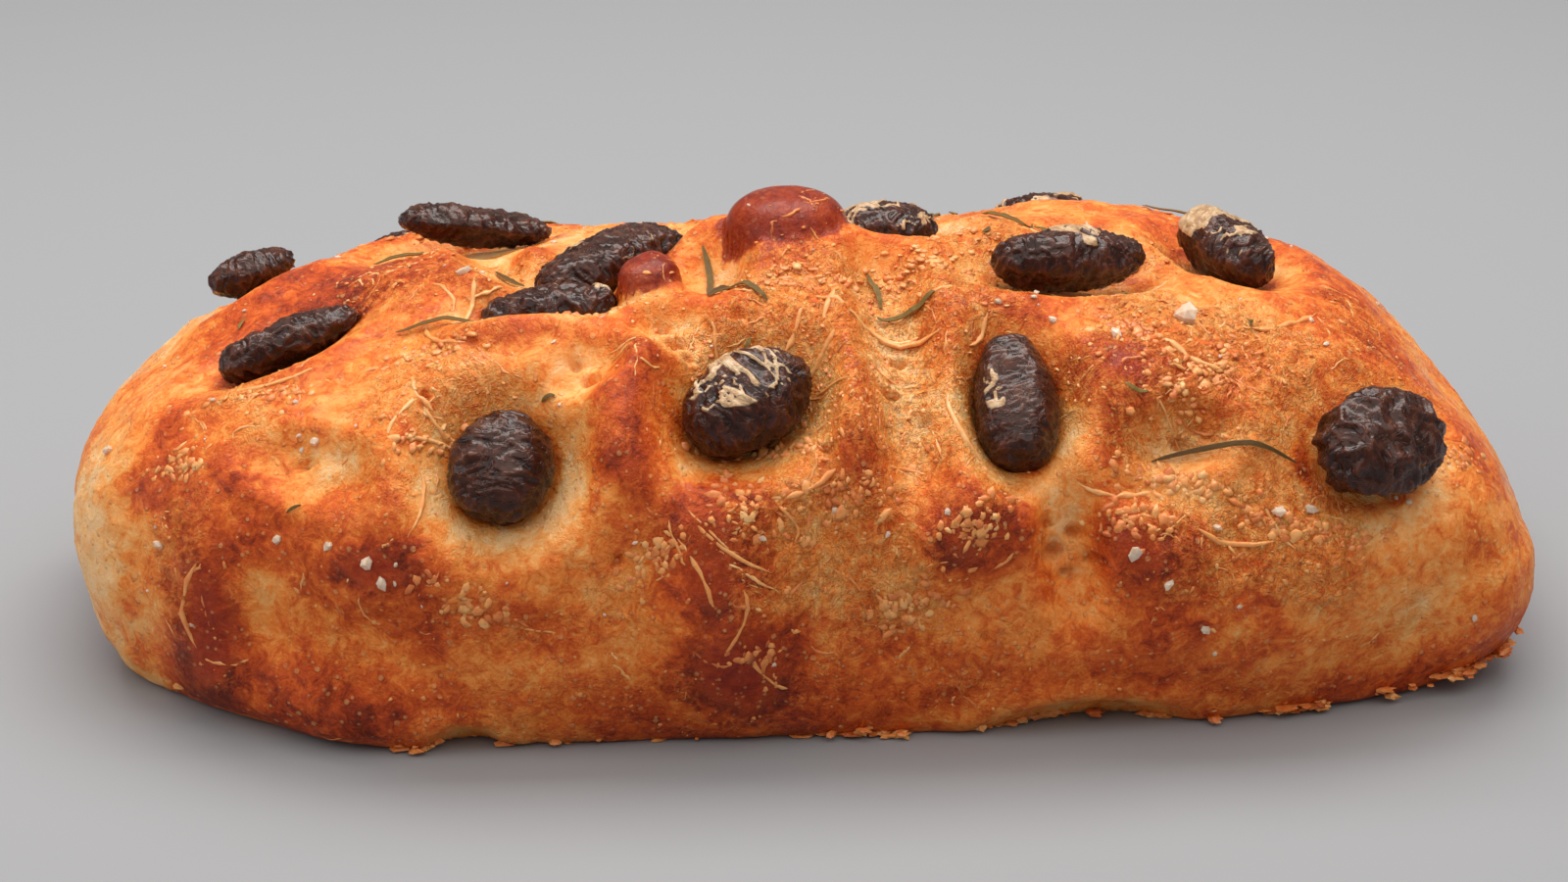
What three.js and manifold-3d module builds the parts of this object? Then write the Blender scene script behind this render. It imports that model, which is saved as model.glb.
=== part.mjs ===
// An oblong olive focaccia loaf: a domed, hand-shaped bread with finger hollows, baked blisters and whole
// olives pressed into its crust, strewn with rosemary needles, grated cheese and coarse salt.
// Millimetres, +X along the loaf, -Y its front, +Z up. The origin is on the flat base, under the middle of
// the loaf. Places on the crust are given as x along the loaf and as degrees round its girth, 0 at the
// front, 90 on top, 180 behind.
import * as THREE from "three";
import Module from "manifold-3d";

const wasm = await Module();
wasm.setup();

// Driving dimensions of the loaf
const HALF_LENGTH = 115;
const HALF_WIDTH = 54;
const HEIGHT = 62.5;
const WAIST = 20; // height at which the loaf is widest
const TUCK = 6; // how far the foot is set in under the waist
const PLAN_POWER = 4; // squareness of the outline seen from above
const RISE_POWER = 2.3; // squareness of the dome
const RISE_TILT = 0.02; // share by which the right end stands higher
const LEFT_TAPER = 0.3; // how much narrower the left end is, more so at its front
const LEFT_DROP = 1.6; // how much lower the left half's crown lies
const LEFT_REACH = 1.4; // how far the left end swells out over its whole height
const RIGHT_LEAN = 10.5; // how far the right end's crown leans in over its foot
const LEAN_START = 1.6; // how much of that lean comes in low down
const LEAN_EASE = 0.7; // how much it eases towards the crown
const END_BULGE = 3; // how far both ends swell out under the waist
const BASE_RELIEF_HEIGHT = 9; // below this height the relief turns level, so that the base stays flat
const EDGE_LIFT = 0.4; // least height of the crust beside the base

// Profiles of the relief, in shares of a place's half sizes and depth
const SWELLING_EDGE = 1.45;
const SWELLING_CROWN = 0.15;
const HOLLOW_EDGE = 1.4;
const HOLLOW_FLOOR = 0.4;
const LIP_PLACE = 1.5;
const LIP_WIDTH = 0.34;
const LIP_HEIGHT = 0.16;
const RELIEF_REACH = 30; // deeper than this under a place, its relief has faded out
const SLOW_WAVE = 0.7; // height of the dough's slow unevenness
const QUICK_WAVE = 0.3; // height of its quicker unevenness

// Mesh steps of the crust
const STEPS_LONG = 54;
const STEPS_WIDE = 22;
const STEPS_FOOT = 3;
const STEPS_WALL = 10;

// Mesh steps of an olive and of a strand, and the air kept round an olive
const OLIVE_RINGS = 8;
const OLIVE_SIDES = 11;
const STRAND_STEPS = 5;
const STRAND_SIDES = 5;
const SOCKET_GAP = 0.35;

// Olives: place, half sizes along, across and through, turn of the long side, height of the centre over
// the plain crust, depth of the bed, the pitch that lifts one end, the bed's margin where it is tight, and
// how blunt the ends are: the sine of the share along it, to this power.
const OLIVES = [
  { name: "front_left", x: -47, girth: 31, half: [8.6, 7.8, 6.6], turn: 78, lift: -2.6, bed: 7.5 },
  { name: "front_middle", x: -9.5, girth: 40.5, half: [10.6, 7.4, 6.6], turn: 34, lift: -1.6, bed: 7.5 },
  {
    name: "front_deep", x: 31, girth: 39.5, half: [11, 6.4, 6.2], turn: 92, lift: -3.0, bed: 7.5,
    margin: 2, blunt: 0.48,
  },
  { name: "front_right", x: 88.2, girth: 28, half: [11, 8.2, 6.4], turn: 14, lift: 2.4, bed: 3.5 },
  { name: "left_shoulder", x: -79.6, girth: 72.5, half: [11.6, 3.9, 3.8], turn: 23, lift: 0.1, bed: 3.2 },
  { name: "left_end", x: -86.3, girth: 126, half: [7.8, 4.8, 3.6], turn: 22, lift: 3.9, bed: 2, pitch: -8 },
  {
    name: "left_back", x: -51, girth: 119, half: [12.8, 5.4, 3.2], turn: 12, lift: 2.1, bed: 3.4,
    pitch: -17,
  },
  { name: "pair_back", x: -31.5, girth: 89, half: [11.4, 6, 4.7], turn: 38, lift: -1.3, bed: 6, pitch: 4 },
  {
    name: "pair_front", x: -39.5, girth: 69.5, half: [10.6, 4.6, 4.2], turn: 2, lift: -1.9, bed: 5.4,
    margin: 1.8,
  },
  { name: "middle_back", x: -25, girth: 111, half: [8.4, 6, 4.2], turn: 6, lift: -3.9, bed: 6.4 },
  { name: "top_middle", x: 16, girth: 103, half: [8.2, 5.8, 4], turn: -4, lift: -0.8, bed: 4.6 },
  { name: "top_right", x: 43, girth: 77, half: [12.8, 5.2, 5], turn: 11, lift: 1.6, bed: 4.2 },
  { name: "right_shoulder", x: 72.5, girth: 96.5, half: [9.8, 5.9, 5.1], turn: -60, lift: 2.2, bed: 4.2 },
  { name: "rear_left", x: -62, girth: 150, half: [10.2, 7, 6], turn: 20, lift: -0.8, bed: 6 },
  { name: "rear_right", x: 46, girth: 148, half: [10.6, 7.2, 6], turn: 150, lift: 0.2, bed: 5.4 },
];
const BED_MARGIN = 3.4; // how much wider than its olive a bed is all round, where it isn't tight
const BLUNT = 0.86; // how blunt a common olive's ends are

// Finger hollows and creases: place, half length, half width, depth and turn
const HOLLOWS = [
  { name: "valley right of middle", x: 14, girth: 46, half: [21, 6.5], depth: 4.6, turn: 92 },
  { name: "crease under the deep olive", x: 38, girth: 13, half: [11, 4.5], depth: 3.4, turn: 96 },
  { name: "left finger mark", x: -75, girth: 30, half: [11, 5], depth: 2.4, turn: -12 },
  { name: "holes over front left olive", x: -34, girth: 47, half: [6, 4.5], depth: 2.8, turn: 20 },
  { name: "holes left of the blister", x: -20, girth: 55, half: [6, 5], depth: 3.0, turn: 0 },
  { name: "right finger mark", x: 56, girth: 31, half: [8, 4.5], depth: 2.8, turn: 8 },
  { name: "hollow beside the blister", x: -14, girth: 80, half: [6, 8], depth: 4.6, turn: 0 },
  { name: "hollow right of the blister", x: 13, girth: 72, half: [6, 7], depth: 3.4, turn: 0 },
  { name: "trough on the left", x: -48, girth: 96, half: [5, 11], depth: 3.6, turn: 10 },
  { name: "saddle left of the blister", x: -24, girth: 124, half: [24, 14], depth: 2.8, turn: 0 },
  { name: "saddle right of the blister", x: 24, girth: 124, half: [17, 13], depth: 2.2, turn: 0 },
  { name: "rear finger mark", x: -4, girth: 150, half: [8, 6], depth: 5.0, turn: 40 },
  { name: "rear left mark", x: -90, girth: 138, half: [7, 5], depth: 3.0, turn: 0 },
  { name: "rear right mark", x: 86, girth: 140, half: [7, 6], depth: 4.0, turn: 30 },
  { name: "rear crease", x: 20, girth: 162, half: [11, 5], depth: 3.2, turn: 84 },
  { name: "notch in the front foot", x: -54, girth: -21, half: [5, 5], depth: 2.6, turn: 90 },
  { name: "notch in the right foot", x: 42, girth: -20, half: [13, 5], depth: 3.6, turn: 0 },
];

// Blisters, ridges and swellings, and one sag: place, half length, half width, height and turn
const SWELLINGS = [
  { name: "foot of the great blister", x: -1, girth: 88, half: [11, 12], height: 4, turn: 0 },
  { name: "foot of the small blister", x: -24, girth: 74, half: [6, 6], height: 2.4, turn: 0 },
  { name: "ridge right of middle olive", x: 7, girth: 38, half: [17, 5.5], height: 3.2, turn: 94 },
  { name: "ridge left of middle olive", x: -27, girth: 36, half: [17, 7], height: 3.2, turn: 84 },
  { name: "dark front bulge", x: -14, girth: 6, half: [19, 10], height: 3.0, turn: 90 },
  { name: "front bump", x: 22, girth: 17, half: [9, 8], height: 3.2, turn: 0 },
  { name: "bump right of deep olive", x: 49, girth: 42, half: [10, 8], height: 2.6, turn: 0 },
  { name: "right front bump", x: 50, girth: 14, half: [9, 7], height: 2.6, turn: 0 },
  { name: "right belly", x: 66, girth: 2, half: [24, 12], height: 2.4, turn: 0 },
  { name: "left corner ridge", x: -92, girth: 2, half: [19, 9], height: 3.0, turn: 86 },
  { name: "left front bump", x: -66, girth: 12, half: [11, 7], height: 1.8, turn: -10 },
  { name: "left front foot", x: -77, girth: -15, half: [20, 9], height: 5.0, turn: 0 },
  { name: "right front foot", x: 106, girth: -12, half: [14, 10], height: 3.0, turn: 0 },
  { name: "ridge under the front of the pair", x: -43, girth: 59, half: [11, 4.5], height: 2.4, turn: -4 },
  { name: "shoulder under the left end olive", x: -86, girth: 113, half: [15, 10], height: 3.6, turn: 0 },
  { name: "left dome", x: -66, girth: 86, half: [24, 13], height: 2.4, turn: 10 },
  { name: "right dome", x: 90, girth: 84, half: [17, 26], height: 3.2, turn: 0 },
  { name: "sag behind the pair", x: -41.5, girth: 103, half: [7, 9], height: -3.2, turn: 0 },
  { name: "middle back ridge", x: 35, girth: 90, half: [7, 9], height: 1.4, turn: 0 },
  { name: "right end swelling", x: 104, girth: 2, half: [14, 12], height: 1.2, turn: 0 },
  { name: "rear ridge left", x: -36, girth: 160, half: [18, 9], height: 3.0, turn: 80 },
  { name: "rear belly", x: 62, girth: 176, half: [22, 12], height: 2.6, turn: 0 },
];

// Bubbles that stand on the crust: place, half sizes along, across and through, turn and lift
const BUBBLES = [
  { x: -1, girth: 91, half: [9.8, 8.4, 6.9], turn: 0, lift: 1.8, blunt: 0.7 },
  { x: -23.5, girth: 72.4, half: [4.8, 4, 3.6], turn: 34, lift: 1.8 },
  { x: 20, girth: 158, half: [6.4, 5.6, 4.4], turn: 0, lift: 1.6 },
];

// Rosemary needles: place of the middle, length, thickness, turn and bend in degrees
const NEEDLES = [
  { x: 63, girth: 28.5, length: 23, thick: 1.5, turn: -4, bend: 24 },
  { x: -55, girth: 65, length: 16, thick: 1.5, turn: 4, bend: 10 },
  { x: -46, girth: 92, length: 10, thick: 1.5, turn: -62, bend: 8 },
  { x: -14, girth: 83, length: 12, thick: 1.9, turn: 90, bend: 14 },
  { x: -12, girth: 68, length: 9, thick: 2.2, turn: 60, bend: 20 },
  { x: 16, girth: 62, length: 9, thick: 1.8, turn: 4, bend: 20 },
  { x: 12, girth: 72, length: 8, thick: 1.6, turn: 100, bend: 12 },
  { x: 35, girth: 103, length: 11, thick: 1.8, turn: -50, bend: 30 },
  { x: -62, girth: 104, length: 10, thick: 1.5, turn: 8, bend: 12 },
  { x: -6, girth: 128, length: 14, thick: 1.5, turn: 30, bend: 20 },
  { x: 70, girth: 128, length: 15, thick: 1.5, turn: -20, bend: 16 },
];

// Strands of baked cheese: place of the middle, length, thickness, turn and bend in degrees
const STRANDS = [
  { x: -93, girth: 2, length: 15, thick: 1.9, turn: 82, bend: -34 },
  { x: -13, girth: 15, length: 15, thick: 1.6, turn: -36, bend: 6 },
  { x: -18, girth: 12, length: 13, thick: 1.6, turn: -58, bend: -8 },
  { x: -56, girth: 60, length: 13, thick: 1.8, turn: -48, bend: 40 },
  { x: -54, girth: 38, length: 12, thick: 1.7, turn: -20, bend: 44 },
  { x: 10, girth: 58, length: 22, thick: 1.7, turn: -24, bend: 20 },
  { x: 22, girth: 34, length: 14, thick: 1.6, turn: -70, bend: 30 },
  { x: 58, girth: 46, length: 13, thick: 1.9, turn: -34, bend: 30 },
  { x: 62, girth: 14, length: 14, thick: 1.9, turn: -14, bend: 30 },
  { x: 45, girth: 22, length: 12, thick: 2.1, turn: -6, bend: 24 },
  { x: -82, girth: 52, length: 18, thick: 1.6, turn: 14, bend: 10 },
  { x: -2, girth: 24, length: 12, thick: 1.7, turn: 20, bend: 30 },
  { x: 78, girth: 58, length: 13, thick: 1.7, turn: 30, bend: 20 },
  { x: 30, girth: 132, length: 15, thick: 1.7, turn: -30, bend: 24 },
  { x: -78, girth: 128, length: 14, thick: 1.7, turn: 24, bend: 24 },
];

// Coarse salt: the largest grains in the places that show, then an even seeded scatter
const SALT_PLACES = [
  { x: 59, girth: 56, size: 3.6 },
  { x: 47, girth: 50, size: 2.2 },
  { x: -66, girth: 14, size: 2.6 },
  { x: -64, girth: 11, size: 2.0 },
  { x: 47, girth: 13, size: 2.6 },
  { x: 70, girth: 18, size: 2.4 },
  { x: 76, girth: 18, size: 2.4 },
  { x: -52, girth: 80, size: 2.8 },
];
const SALT_SCATTER = 7;
const SALT_SCATTER_SIZE = [1.8, 2.6];
const SALT_SEED = 11;
const SALT_SINK = 0.28; // share of its size that a grain lies under the crust
const SALT_STAND = 0.36; // share of its size that it stands over the crust
const SALT_TAPER = 0.7;

// Colours of the crust and of the olives
const CRUST_COLOUR = 0xcf7a2c;
const OLIVE_COLOUR = 0x2b1c1a;

const clamp = (value, low, high) => Math.min(Math.max(value, low), high);
const radians = (degrees) => (degrees * Math.PI) / 180;

// An S-shaped step from 0 at a to 1 at b.
function smooth(a, b, value) {
  const t = clamp((value - a) / (b - a), 0, 1);
  return t * t * (3 - 2 * t);
}

// A seeded draw from 0 to 1.
function seededDraw(seed) {
  let state = seed;
  return () => {
    state = (state * 1664525 + 1013904223) % 4294967296;
    return state / 4294967296;
  };
}

// Turns the even dome into the hand-shaped loaf: the left end is narrower and lower, and both ends swell
// out low down.
function handShape(p) {
  const along = p.x / HALF_LENGTH;
  const up = clamp((p.z - WAIST) / (HEIGHT - WAIST), 0, 1);
  const down = clamp((WAIST - p.z) / WAIST, 0, 1);
  const front = clamp(-p.y / HALF_WIDTH, 0, 1);
  const left = smooth(-0.45, -1, along);
  const right = smooth(0.45, 1, along);
  const lean = RIGHT_LEAN * up * (LEAN_START - LEAN_EASE * up);
  return new THREE.Vector3(
    p.x + right * (END_BULGE - lean) + left * (END_BULGE * down - LEFT_REACH),
    p.y * (1 - LEFT_TAPER * left * (0.45 + 0.55 * front)),
    p.z - up * (LEFT_DROP * smooth(0, -0.7, along) - smooth(0.45, 0.8, along)),
  );
}

// The plain loaf's point for a point on the surface of a cube of half side 1: its top becomes the dome,
// the upper part of its sides the walls, and the lower part a quarter ellipse from the waist to the foot.
function plainPoint(cube) {
  const reach = (Math.abs(cube.x) ** PLAN_POWER + Math.abs(cube.y) ** PLAN_POWER) ** (1 / PLAN_POWER);
  if (cube.z < 0) {
    const roll = (-cube.z * Math.PI) / 2;
    const inset = TUCK * (1 - Math.cos(roll));
    return handShape(
      new THREE.Vector3(
        ((HALF_LENGTH - inset) * cube.x) / reach,
        ((HALF_WIDTH - inset) * cube.y) / reach,
        WAIST * (1 - Math.sin(roll)),
      ),
    );
  }
  const dome = cube.clone().divideScalar((reach ** RISE_POWER + cube.z ** RISE_POWER) ** (1 / RISE_POWER));
  const rise = (HEIGHT - WAIST) * (1 + RISE_TILT * dome.x);
  return handShape(new THREE.Vector3(HALF_LENGTH * dome.x, HALF_WIDTH * dome.y, WAIST + rise * dome.z));
}

// The plain loaf's point at x along it and so many degrees round its girth, found by halving.
function plainAt(x, girth) {
  const across = Math.cos(radians(girth));
  const upward = Math.sin(radians(girth));
  const rise = (HEIGHT - WAIST) * (1 + (RISE_TILT * x) / HALF_LENGTH);
  let near = 0;
  let far = 2 * HALF_LENGTH;
  for (let i = 0; i < 40; i++) {
    const t = (near + far) / 2;
    const plan = Math.abs(x / HALF_LENGTH) ** PLAN_POWER + Math.abs((t * across) / HALF_WIDTH) ** PLAN_POWER;
    const dome = Math.max((t * upward) / rise, 0) ** RISE_POWER;
    if (plan ** (RISE_POWER / PLAN_POWER) + dome > 1) far = t;
    else near = t;
  }
  return handShape(new THREE.Vector3(x, -near * across, WAIST + near * upward));
}

// The frame of a place on the plain loaf: its point, its outward normal, and the turned directions along
// and across.
function seat(x, girth, turn = 0) {
  const step = 0.5;
  const point = plainAt(x, girth);
  const along = plainAt(x + step, girth).sub(plainAt(x - step, girth)).normalize();
  const round = plainAt(x, girth + step).sub(plainAt(x, girth - step)).normalize();
  const normal = along.clone().cross(round).normalize();
  round.crossVectors(normal, along);
  const c = Math.cos(radians(turn));
  const s = Math.sin(radians(turn));
  return {
    point,
    normal,
    long: along.clone().multiplyScalar(c).addScaledVector(round, s),
    wide: along.clone().multiplyScalar(-s).addScaledVector(round, c),
  };
}

// How far p is from a place's middle: 0 there and 1 on the ellipse of its half sizes.
function ellipseDistance(p, place) {
  const d = p.clone().sub(place.frame.point);
  const flat = Math.hypot(d.dot(place.frame.long) / place.half[0], d.dot(place.frame.wide) / place.half[1]);
  return flat + 3 * smooth(RELIEF_REACH / 2, RELIEF_REACH, Math.abs(d.dot(place.frame.normal)));
}

const framed = (place) => ({ ...place, frame: seat(place.x, place.girth, place.turn) });
const bedHalf = (olive) => [0, 1].map((k) => olive.half[k] + (olive.margin ?? BED_MARGIN));
const beds = OLIVES.map((olive) =>
  framed({ ...olive, half: bedHalf(olive), depth: olive.bed }),
);
const hollows = [...beds, ...HOLLOWS.map(framed)];
const swellings = SWELLINGS.map(framed);

// Relief of the crust over the plain loaf: swellings less hollows with raised lips, and the dough's slow
// unevenness.
function relief(p) {
  let height = 0;
  let sunk = 0;
  for (const s of swellings) {
    height += s.height * smooth(SWELLING_EDGE, SWELLING_CROWN, ellipseDistance(p, s));
  }
  for (const h of hollows) {
    const q = ellipseDistance(p, h);
    height += LIP_HEIGHT * h.depth * Math.exp(-(((q - LIP_PLACE) / LIP_WIDTH) ** 2));
    sunk = Math.hypot(sunk, h.depth * smooth(HOLLOW_EDGE, HOLLOW_FLOOR, q));
  }
  const slow = Math.sin(p.x / 13 + 0.6) * Math.sin(p.y / 11 + p.z / 9 + 1.1);
  const quick = Math.sin(p.x / 6.1 + 2) * Math.sin(p.y / 5.3 - p.z / 6.7);
  return height - sunk + SLOW_WAVE * slow + QUICK_WAVE * quick;
}

// The outward direction of the relief: level with the base near the foot, so that the base stays flat.
function reliefDirection(normal, z) {
  const level = smooth(0, BASE_RELIEF_HEIGHT, z);
  return new THREE.Vector3(normal.x, normal.y, normal.z * level).normalize();
}

// A point of the crust and its plain normal, from a place on the loaf.
function crustAt(x, girth) {
  const frame = seat(x, girth);
  return { point: frame.point.clone().addScaledVector(frame.normal, relief(frame.point)), frame };
}

// A closed solid from points and triangles.
function solidFrom(points, triangles) {
  return new wasm.Manifold(
    new wasm.Mesh({
      numProp: 3,
      vertProperties: new Float32Array(points.flatMap((p) => [p.x, p.y, p.z])),
      triVerts: new Uint32Array(triangles.flat()),
    }),
  );
}

function geometryFrom(solid) {
  const mesh = solid.getMesh();
  const geometry = new THREE.BufferGeometry();
  geometry.setAttribute("position", new THREE.BufferAttribute(new Float32Array(mesh.vertProperties), 3));
  geometry.setIndex(new THREE.BufferAttribute(new Uint32Array(mesh.triVerts), 1));
  geometry.computeVertexNormals();
  return geometry;
}

// The crust as one closed solid: a cube's top and sides in even steps, drawn out to the loaf, with a flat
// base.
function crustSolid() {
  const cubePoints = [];
  const known = new Map();
  const vertex = (x, y, z) => {
    const key = [x, y, z].map((v) => Math.round(v * 1e5)).join(" ");
    if (!known.has(key)) {
      known.set(key, cubePoints.length);
      cubePoints.push(new THREE.Vector3(x, y, z));
    }
    return known.get(key);
  };
  const quads = [];
  const patch = (columns, rows, place) => {
    for (let i = 0; i < columns; i++)
      for (let j = 0; j < rows; j++) {
        const corners = [[i, j], [i + 1, j], [i + 1, j + 1], [i, j + 1]];
        quads.push(corners.map((corner) => vertex(...place(...corner))));
      }
  };
  const long = (i) => -1 + (2 * i) / STEPS_LONG;
  const wide = (i) => -1 + (2 * i) / STEPS_WIDE;
  const up = (j) => (j < STEPS_FOOT ? j / STEPS_FOOT - 1 : (j - STEPS_FOOT) / STEPS_WALL);
  const rows = STEPS_FOOT + STEPS_WALL;
  patch(STEPS_LONG, STEPS_WIDE, (i, j) => [long(i), wide(j), 1]);
  patch(STEPS_LONG, rows, (i, j) => [long(i), -1, up(j)]);
  patch(STEPS_LONG, rows, (i, j) => [-long(i), 1, up(j)]);
  patch(STEPS_WIDE, rows, (i, j) => [1, wide(i), up(j)]);
  patch(STEPS_WIDE, rows, (i, j) => [-1, -wide(i), up(j)]);

  const plain = cubePoints.map(plainPoint);
  const normals = plain.map(() => new THREE.Vector3());
  for (const [a, b, c, d] of quads) {
    const n = plain[c].clone().sub(plain[a]).cross(plain[d].clone().sub(plain[b]));
    for (const k of [a, b, c, d]) normals[k].add(n);
  }
  const points = plain.map((p, k) => {
    const moved = p.clone().addScaledVector(reliefDirection(normals[k].normalize(), p.z), relief(p));
    moved.z = cubePoints[k].z === -1 ? 0 : Math.max(moved.z, EDGE_LIFT);
    return moved;
  });

  // Each square is split along its shorter diagonal, so that hollow edges run smoothly.
  const triangles = quads.flatMap(([a, b, c, d]) =>
    points[a].distanceTo(points[c]) <= points[b].distanceTo(points[d])
      ? [[a, b, c], [a, c, d]]
      : [[a, b, d], [b, c, d]],
  );
  const foot = [];
  for (let i = 0; i < STEPS_LONG; i++) foot.push(vertex(long(i), -1, -1));
  for (let i = 0; i < STEPS_WIDE; i++) foot.push(vertex(1, wide(i), -1));
  for (let i = 0; i < STEPS_LONG; i++) foot.push(vertex(-long(i), 1, -1));
  for (let i = 0; i < STEPS_WIDE; i++) foot.push(vertex(-1, -wide(i), -1));
  const outline = foot.map((k) => new THREE.Vector2(points[k].x, points[k].y));
  const base = THREE.ShapeUtils.triangulateShape(outline, []).map(([a, b, c]) => [foot[a], foot[c], foot[b]]);
  return solidFrom(points, [...triangles, ...base]);
}

// The unit form of an olive or a bubble at an angle round it and a share along it: a plump ellipsoid with
// soft folds along it, one end fuller, and both ends blunter where the power is lower.
function plumpUnit(round, share, blunt) {
  const tip = Math.PI * share;
  const girth = Math.sin(tip) ** blunt;
  const longFold = 0.05 * girth * Math.sin(3 * round + 2.2 * Math.cos(tip));
  const shortFold = 0.035 * Math.sin(5 * round - 4 * share);
  const radius = girth * (1 + longFold + shortFold) * (1 + 0.08 * Math.cos(tip));
  return new THREE.Vector3(-Math.cos(tip), Math.cos(round) * radius, Math.sin(round) * radius);
}

// One olive, or one bubble, in its place, grown by so many millimetres all round.
function plumpSolid(olive, grown = 0) {
  const frame = seat(olive.x, olive.girth, olive.turn);
  const pitch = radians(olive.pitch ?? 0);
  const long = frame.long.clone().applyAxisAngle(frame.wide, -pitch);
  const through = frame.normal.clone().applyAxisAngle(frame.wide, -pitch);
  const middle = frame.point.clone().addScaledVector(frame.normal, olive.lift);
  const place = (round, share) => {
    const unit = plumpUnit(round, share, olive.blunt ?? BLUNT);
    return middle
      .clone()
      .addScaledVector(long, unit.x * (olive.half[0] + grown))
      .addScaledVector(frame.wide, unit.y * (olive.half[1] + grown))
      .addScaledVector(through, unit.z * (olive.half[2] + grown));
  };
  const points = [place(0, 0)];
  for (let r = 1; r < OLIVE_RINGS; r++)
    for (let k = 0; k < OLIVE_SIDES; k++) {
      points.push(place((2 * Math.PI * k) / OLIVE_SIDES, r / OLIVE_RINGS));
    }
  points.push(place(0, 1));
  return solidFrom(points, tubeTriangles(OLIVE_RINGS - 1, OLIVE_SIDES));
}

// Triangles of a tube of rings between a first and a last pole.
function tubeTriangles(rings, sides) {
  const triangles = [];
  const at = (r, s) => 1 + r * sides + (s % sides);
  const last = 1 + rings * sides;
  for (let s = 0; s < sides; s++) {
    triangles.push([0, at(0, s + 1), at(0, s)], [last, at(rings - 1, s), at(rings - 1, s + 1)]);
    for (let r = 0; r < rings - 1; r++)
      triangles.push([at(r, s), at(r, s + 1), at(r + 1, s + 1)], [at(r, s), at(r + 1, s + 1), at(r + 1, s)]);
  }
  return triangles;
}

// A needle or strand: a thin pointed tube that lies on the crust along a bent line, its middle a fifth of
// its thickness above the crust.
function strandSolid(strand) {
  const { point, normal, long, wide } = seat(strand.x, strand.girth, strand.turn);
  const lift = normal.clone().multiplyScalar(strand.thick / 5);
  const centres = [];
  for (let i = 0; i <= STRAND_STEPS; i++) {
    const share = i / STRAND_STEPS - 0.5;
    const turned = radians(strand.bend) * Math.abs(share);
    const laid = point
      .clone()
      .addScaledVector(long, strand.length * share * Math.cos(turned))
      .addScaledVector(wide, strand.length * Math.abs(share) * Math.sin(turned));
    const girth = THREE.MathUtils.radToDeg(Math.atan2(laid.z - WAIST, -laid.y));
    centres.push(crustAt(clamp(laid.x, 2 - HALF_LENGTH, HALF_LENGTH - 2), girth).point.add(lift));
  }
  const points = [centres[0]];
  for (let i = 1; i < STRAND_STEPS; i++) {
    const ahead = centres[i + 1].clone().sub(centres[i - 1]).normalize();
    const side = normal.clone().cross(ahead).normalize();
    const over = ahead.clone().cross(side);
    for (let s = 0; s < STRAND_SIDES; s++) {
      const angle = (2 * Math.PI * s) / STRAND_SIDES;
      points.push(
        centres[i]
          .clone()
          .addScaledVector(side, (Math.cos(angle) * strand.thick) / 2)
          .addScaledVector(over, (Math.sin(angle) * strand.thick) / 2),
      );
    }
  }
  points.push(centres[STRAND_STEPS]);
  return solidFrom(points, tubeTriangles(STRAND_STEPS - 1, STRAND_SIDES));
}

// A grain of salt: a turned, slightly tapered block, half sunk in the crust.
function grainSolid(grain, draw) {
  const { point, frame } = crustAt(grain.x, grain.girth);
  const spin = draw() * Math.PI;
  const along = frame.long.clone().multiplyScalar(Math.cos(spin)).addScaledVector(frame.wide, Math.sin(spin));
  const across = frame.normal.clone().cross(along);
  const points = [];
  for (const [height, taper] of [[-SALT_SINK, 1], [SALT_STAND, SALT_TAPER]])
    for (const [a, b] of [[-1, -1], [1, -1], [1, 1], [-1, 1]])
      points.push(
        point
          .clone()
          .addScaledVector(along, (a * grain.size * taper) / 2)
          .addScaledVector(across, (b * grain.size * taper * 3) / 8)
          .addScaledVector(frame.normal, height * grain.size),
      );
  const ring = [0, 1, 2, 3];
  const walls = ring.flatMap((i) => [[i, (i + 1) % 4, 4 + ((i + 1) % 4)], [i, 4 + ((i + 1) % 4), 4 + i]]);
  return solidFrom(points, [[0, 2, 1], [0, 3, 2], [4, 5, 6], [4, 6, 7], ...walls]);
}

// Salt grains: the placed ones, then a scatter in even slots along the loaf.
function saltGrains(draw) {
  const [least, most] = SALT_SCATTER_SIZE;
  const scattered = Array.from({ length: SALT_SCATTER }, (_, i) => ({
    x: HALF_LENGTH * (-0.85 + (1.7 * (i + draw())) / SALT_SCATTER),
    girth: 8 + 150 * ((i * 0.618 + 0.3 * draw()) % 1),
    size: least + (most - least) * draw(),
  }));
  return [...SALT_PLACES, ...scattered];
}

// The loaf with its small toppings, less the olives' sockets. A scrap that a socket cuts off is dropped.
function loafSolid() {
  const draw = seededDraw(SALT_SEED);
  const toppings = [
    ...BUBBLES.map((bubble) => plumpSolid(bubble)),
    ...NEEDLES.map(strandSolid),
    ...STRANDS.map(strandSolid),
    ...saltGrains(draw).map((grain) => grainSolid(grain, draw)),
  ];
  const dressed = toppings.reduce((sum, topping) => sum.add(topping), crustSolid());
  const cut = OLIVES.reduce((sum, olive) => sum.subtract(plumpSolid(olive, SOCKET_GAP)), dressed);
  return cut.decompose().sort((a, b) => b.volume() - a.volume())[0];
}

const crustMaterial = new THREE.MeshStandardMaterial({ color: CRUST_COLOUR, roughness: 0.5, metalness: 0 });
const oliveMaterial = new THREE.MeshStandardMaterial({ color: OLIVE_COLOUR, roughness: 0.35, metalness: 0 });

const focaccia = new THREE.Group();
const loaf = new THREE.Mesh(geometryFrom(loafSolid()), crustMaterial);
loaf.name = "loaf";
focaccia.add(loaf);
for (const olive of OLIVES) {
  const mesh = new THREE.Mesh(geometryFrom(plumpSolid(olive)), oliveMaterial);
  mesh.name = `olive_${olive.name}`;
  focaccia.add(mesh);
}

export default focaccia;
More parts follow.
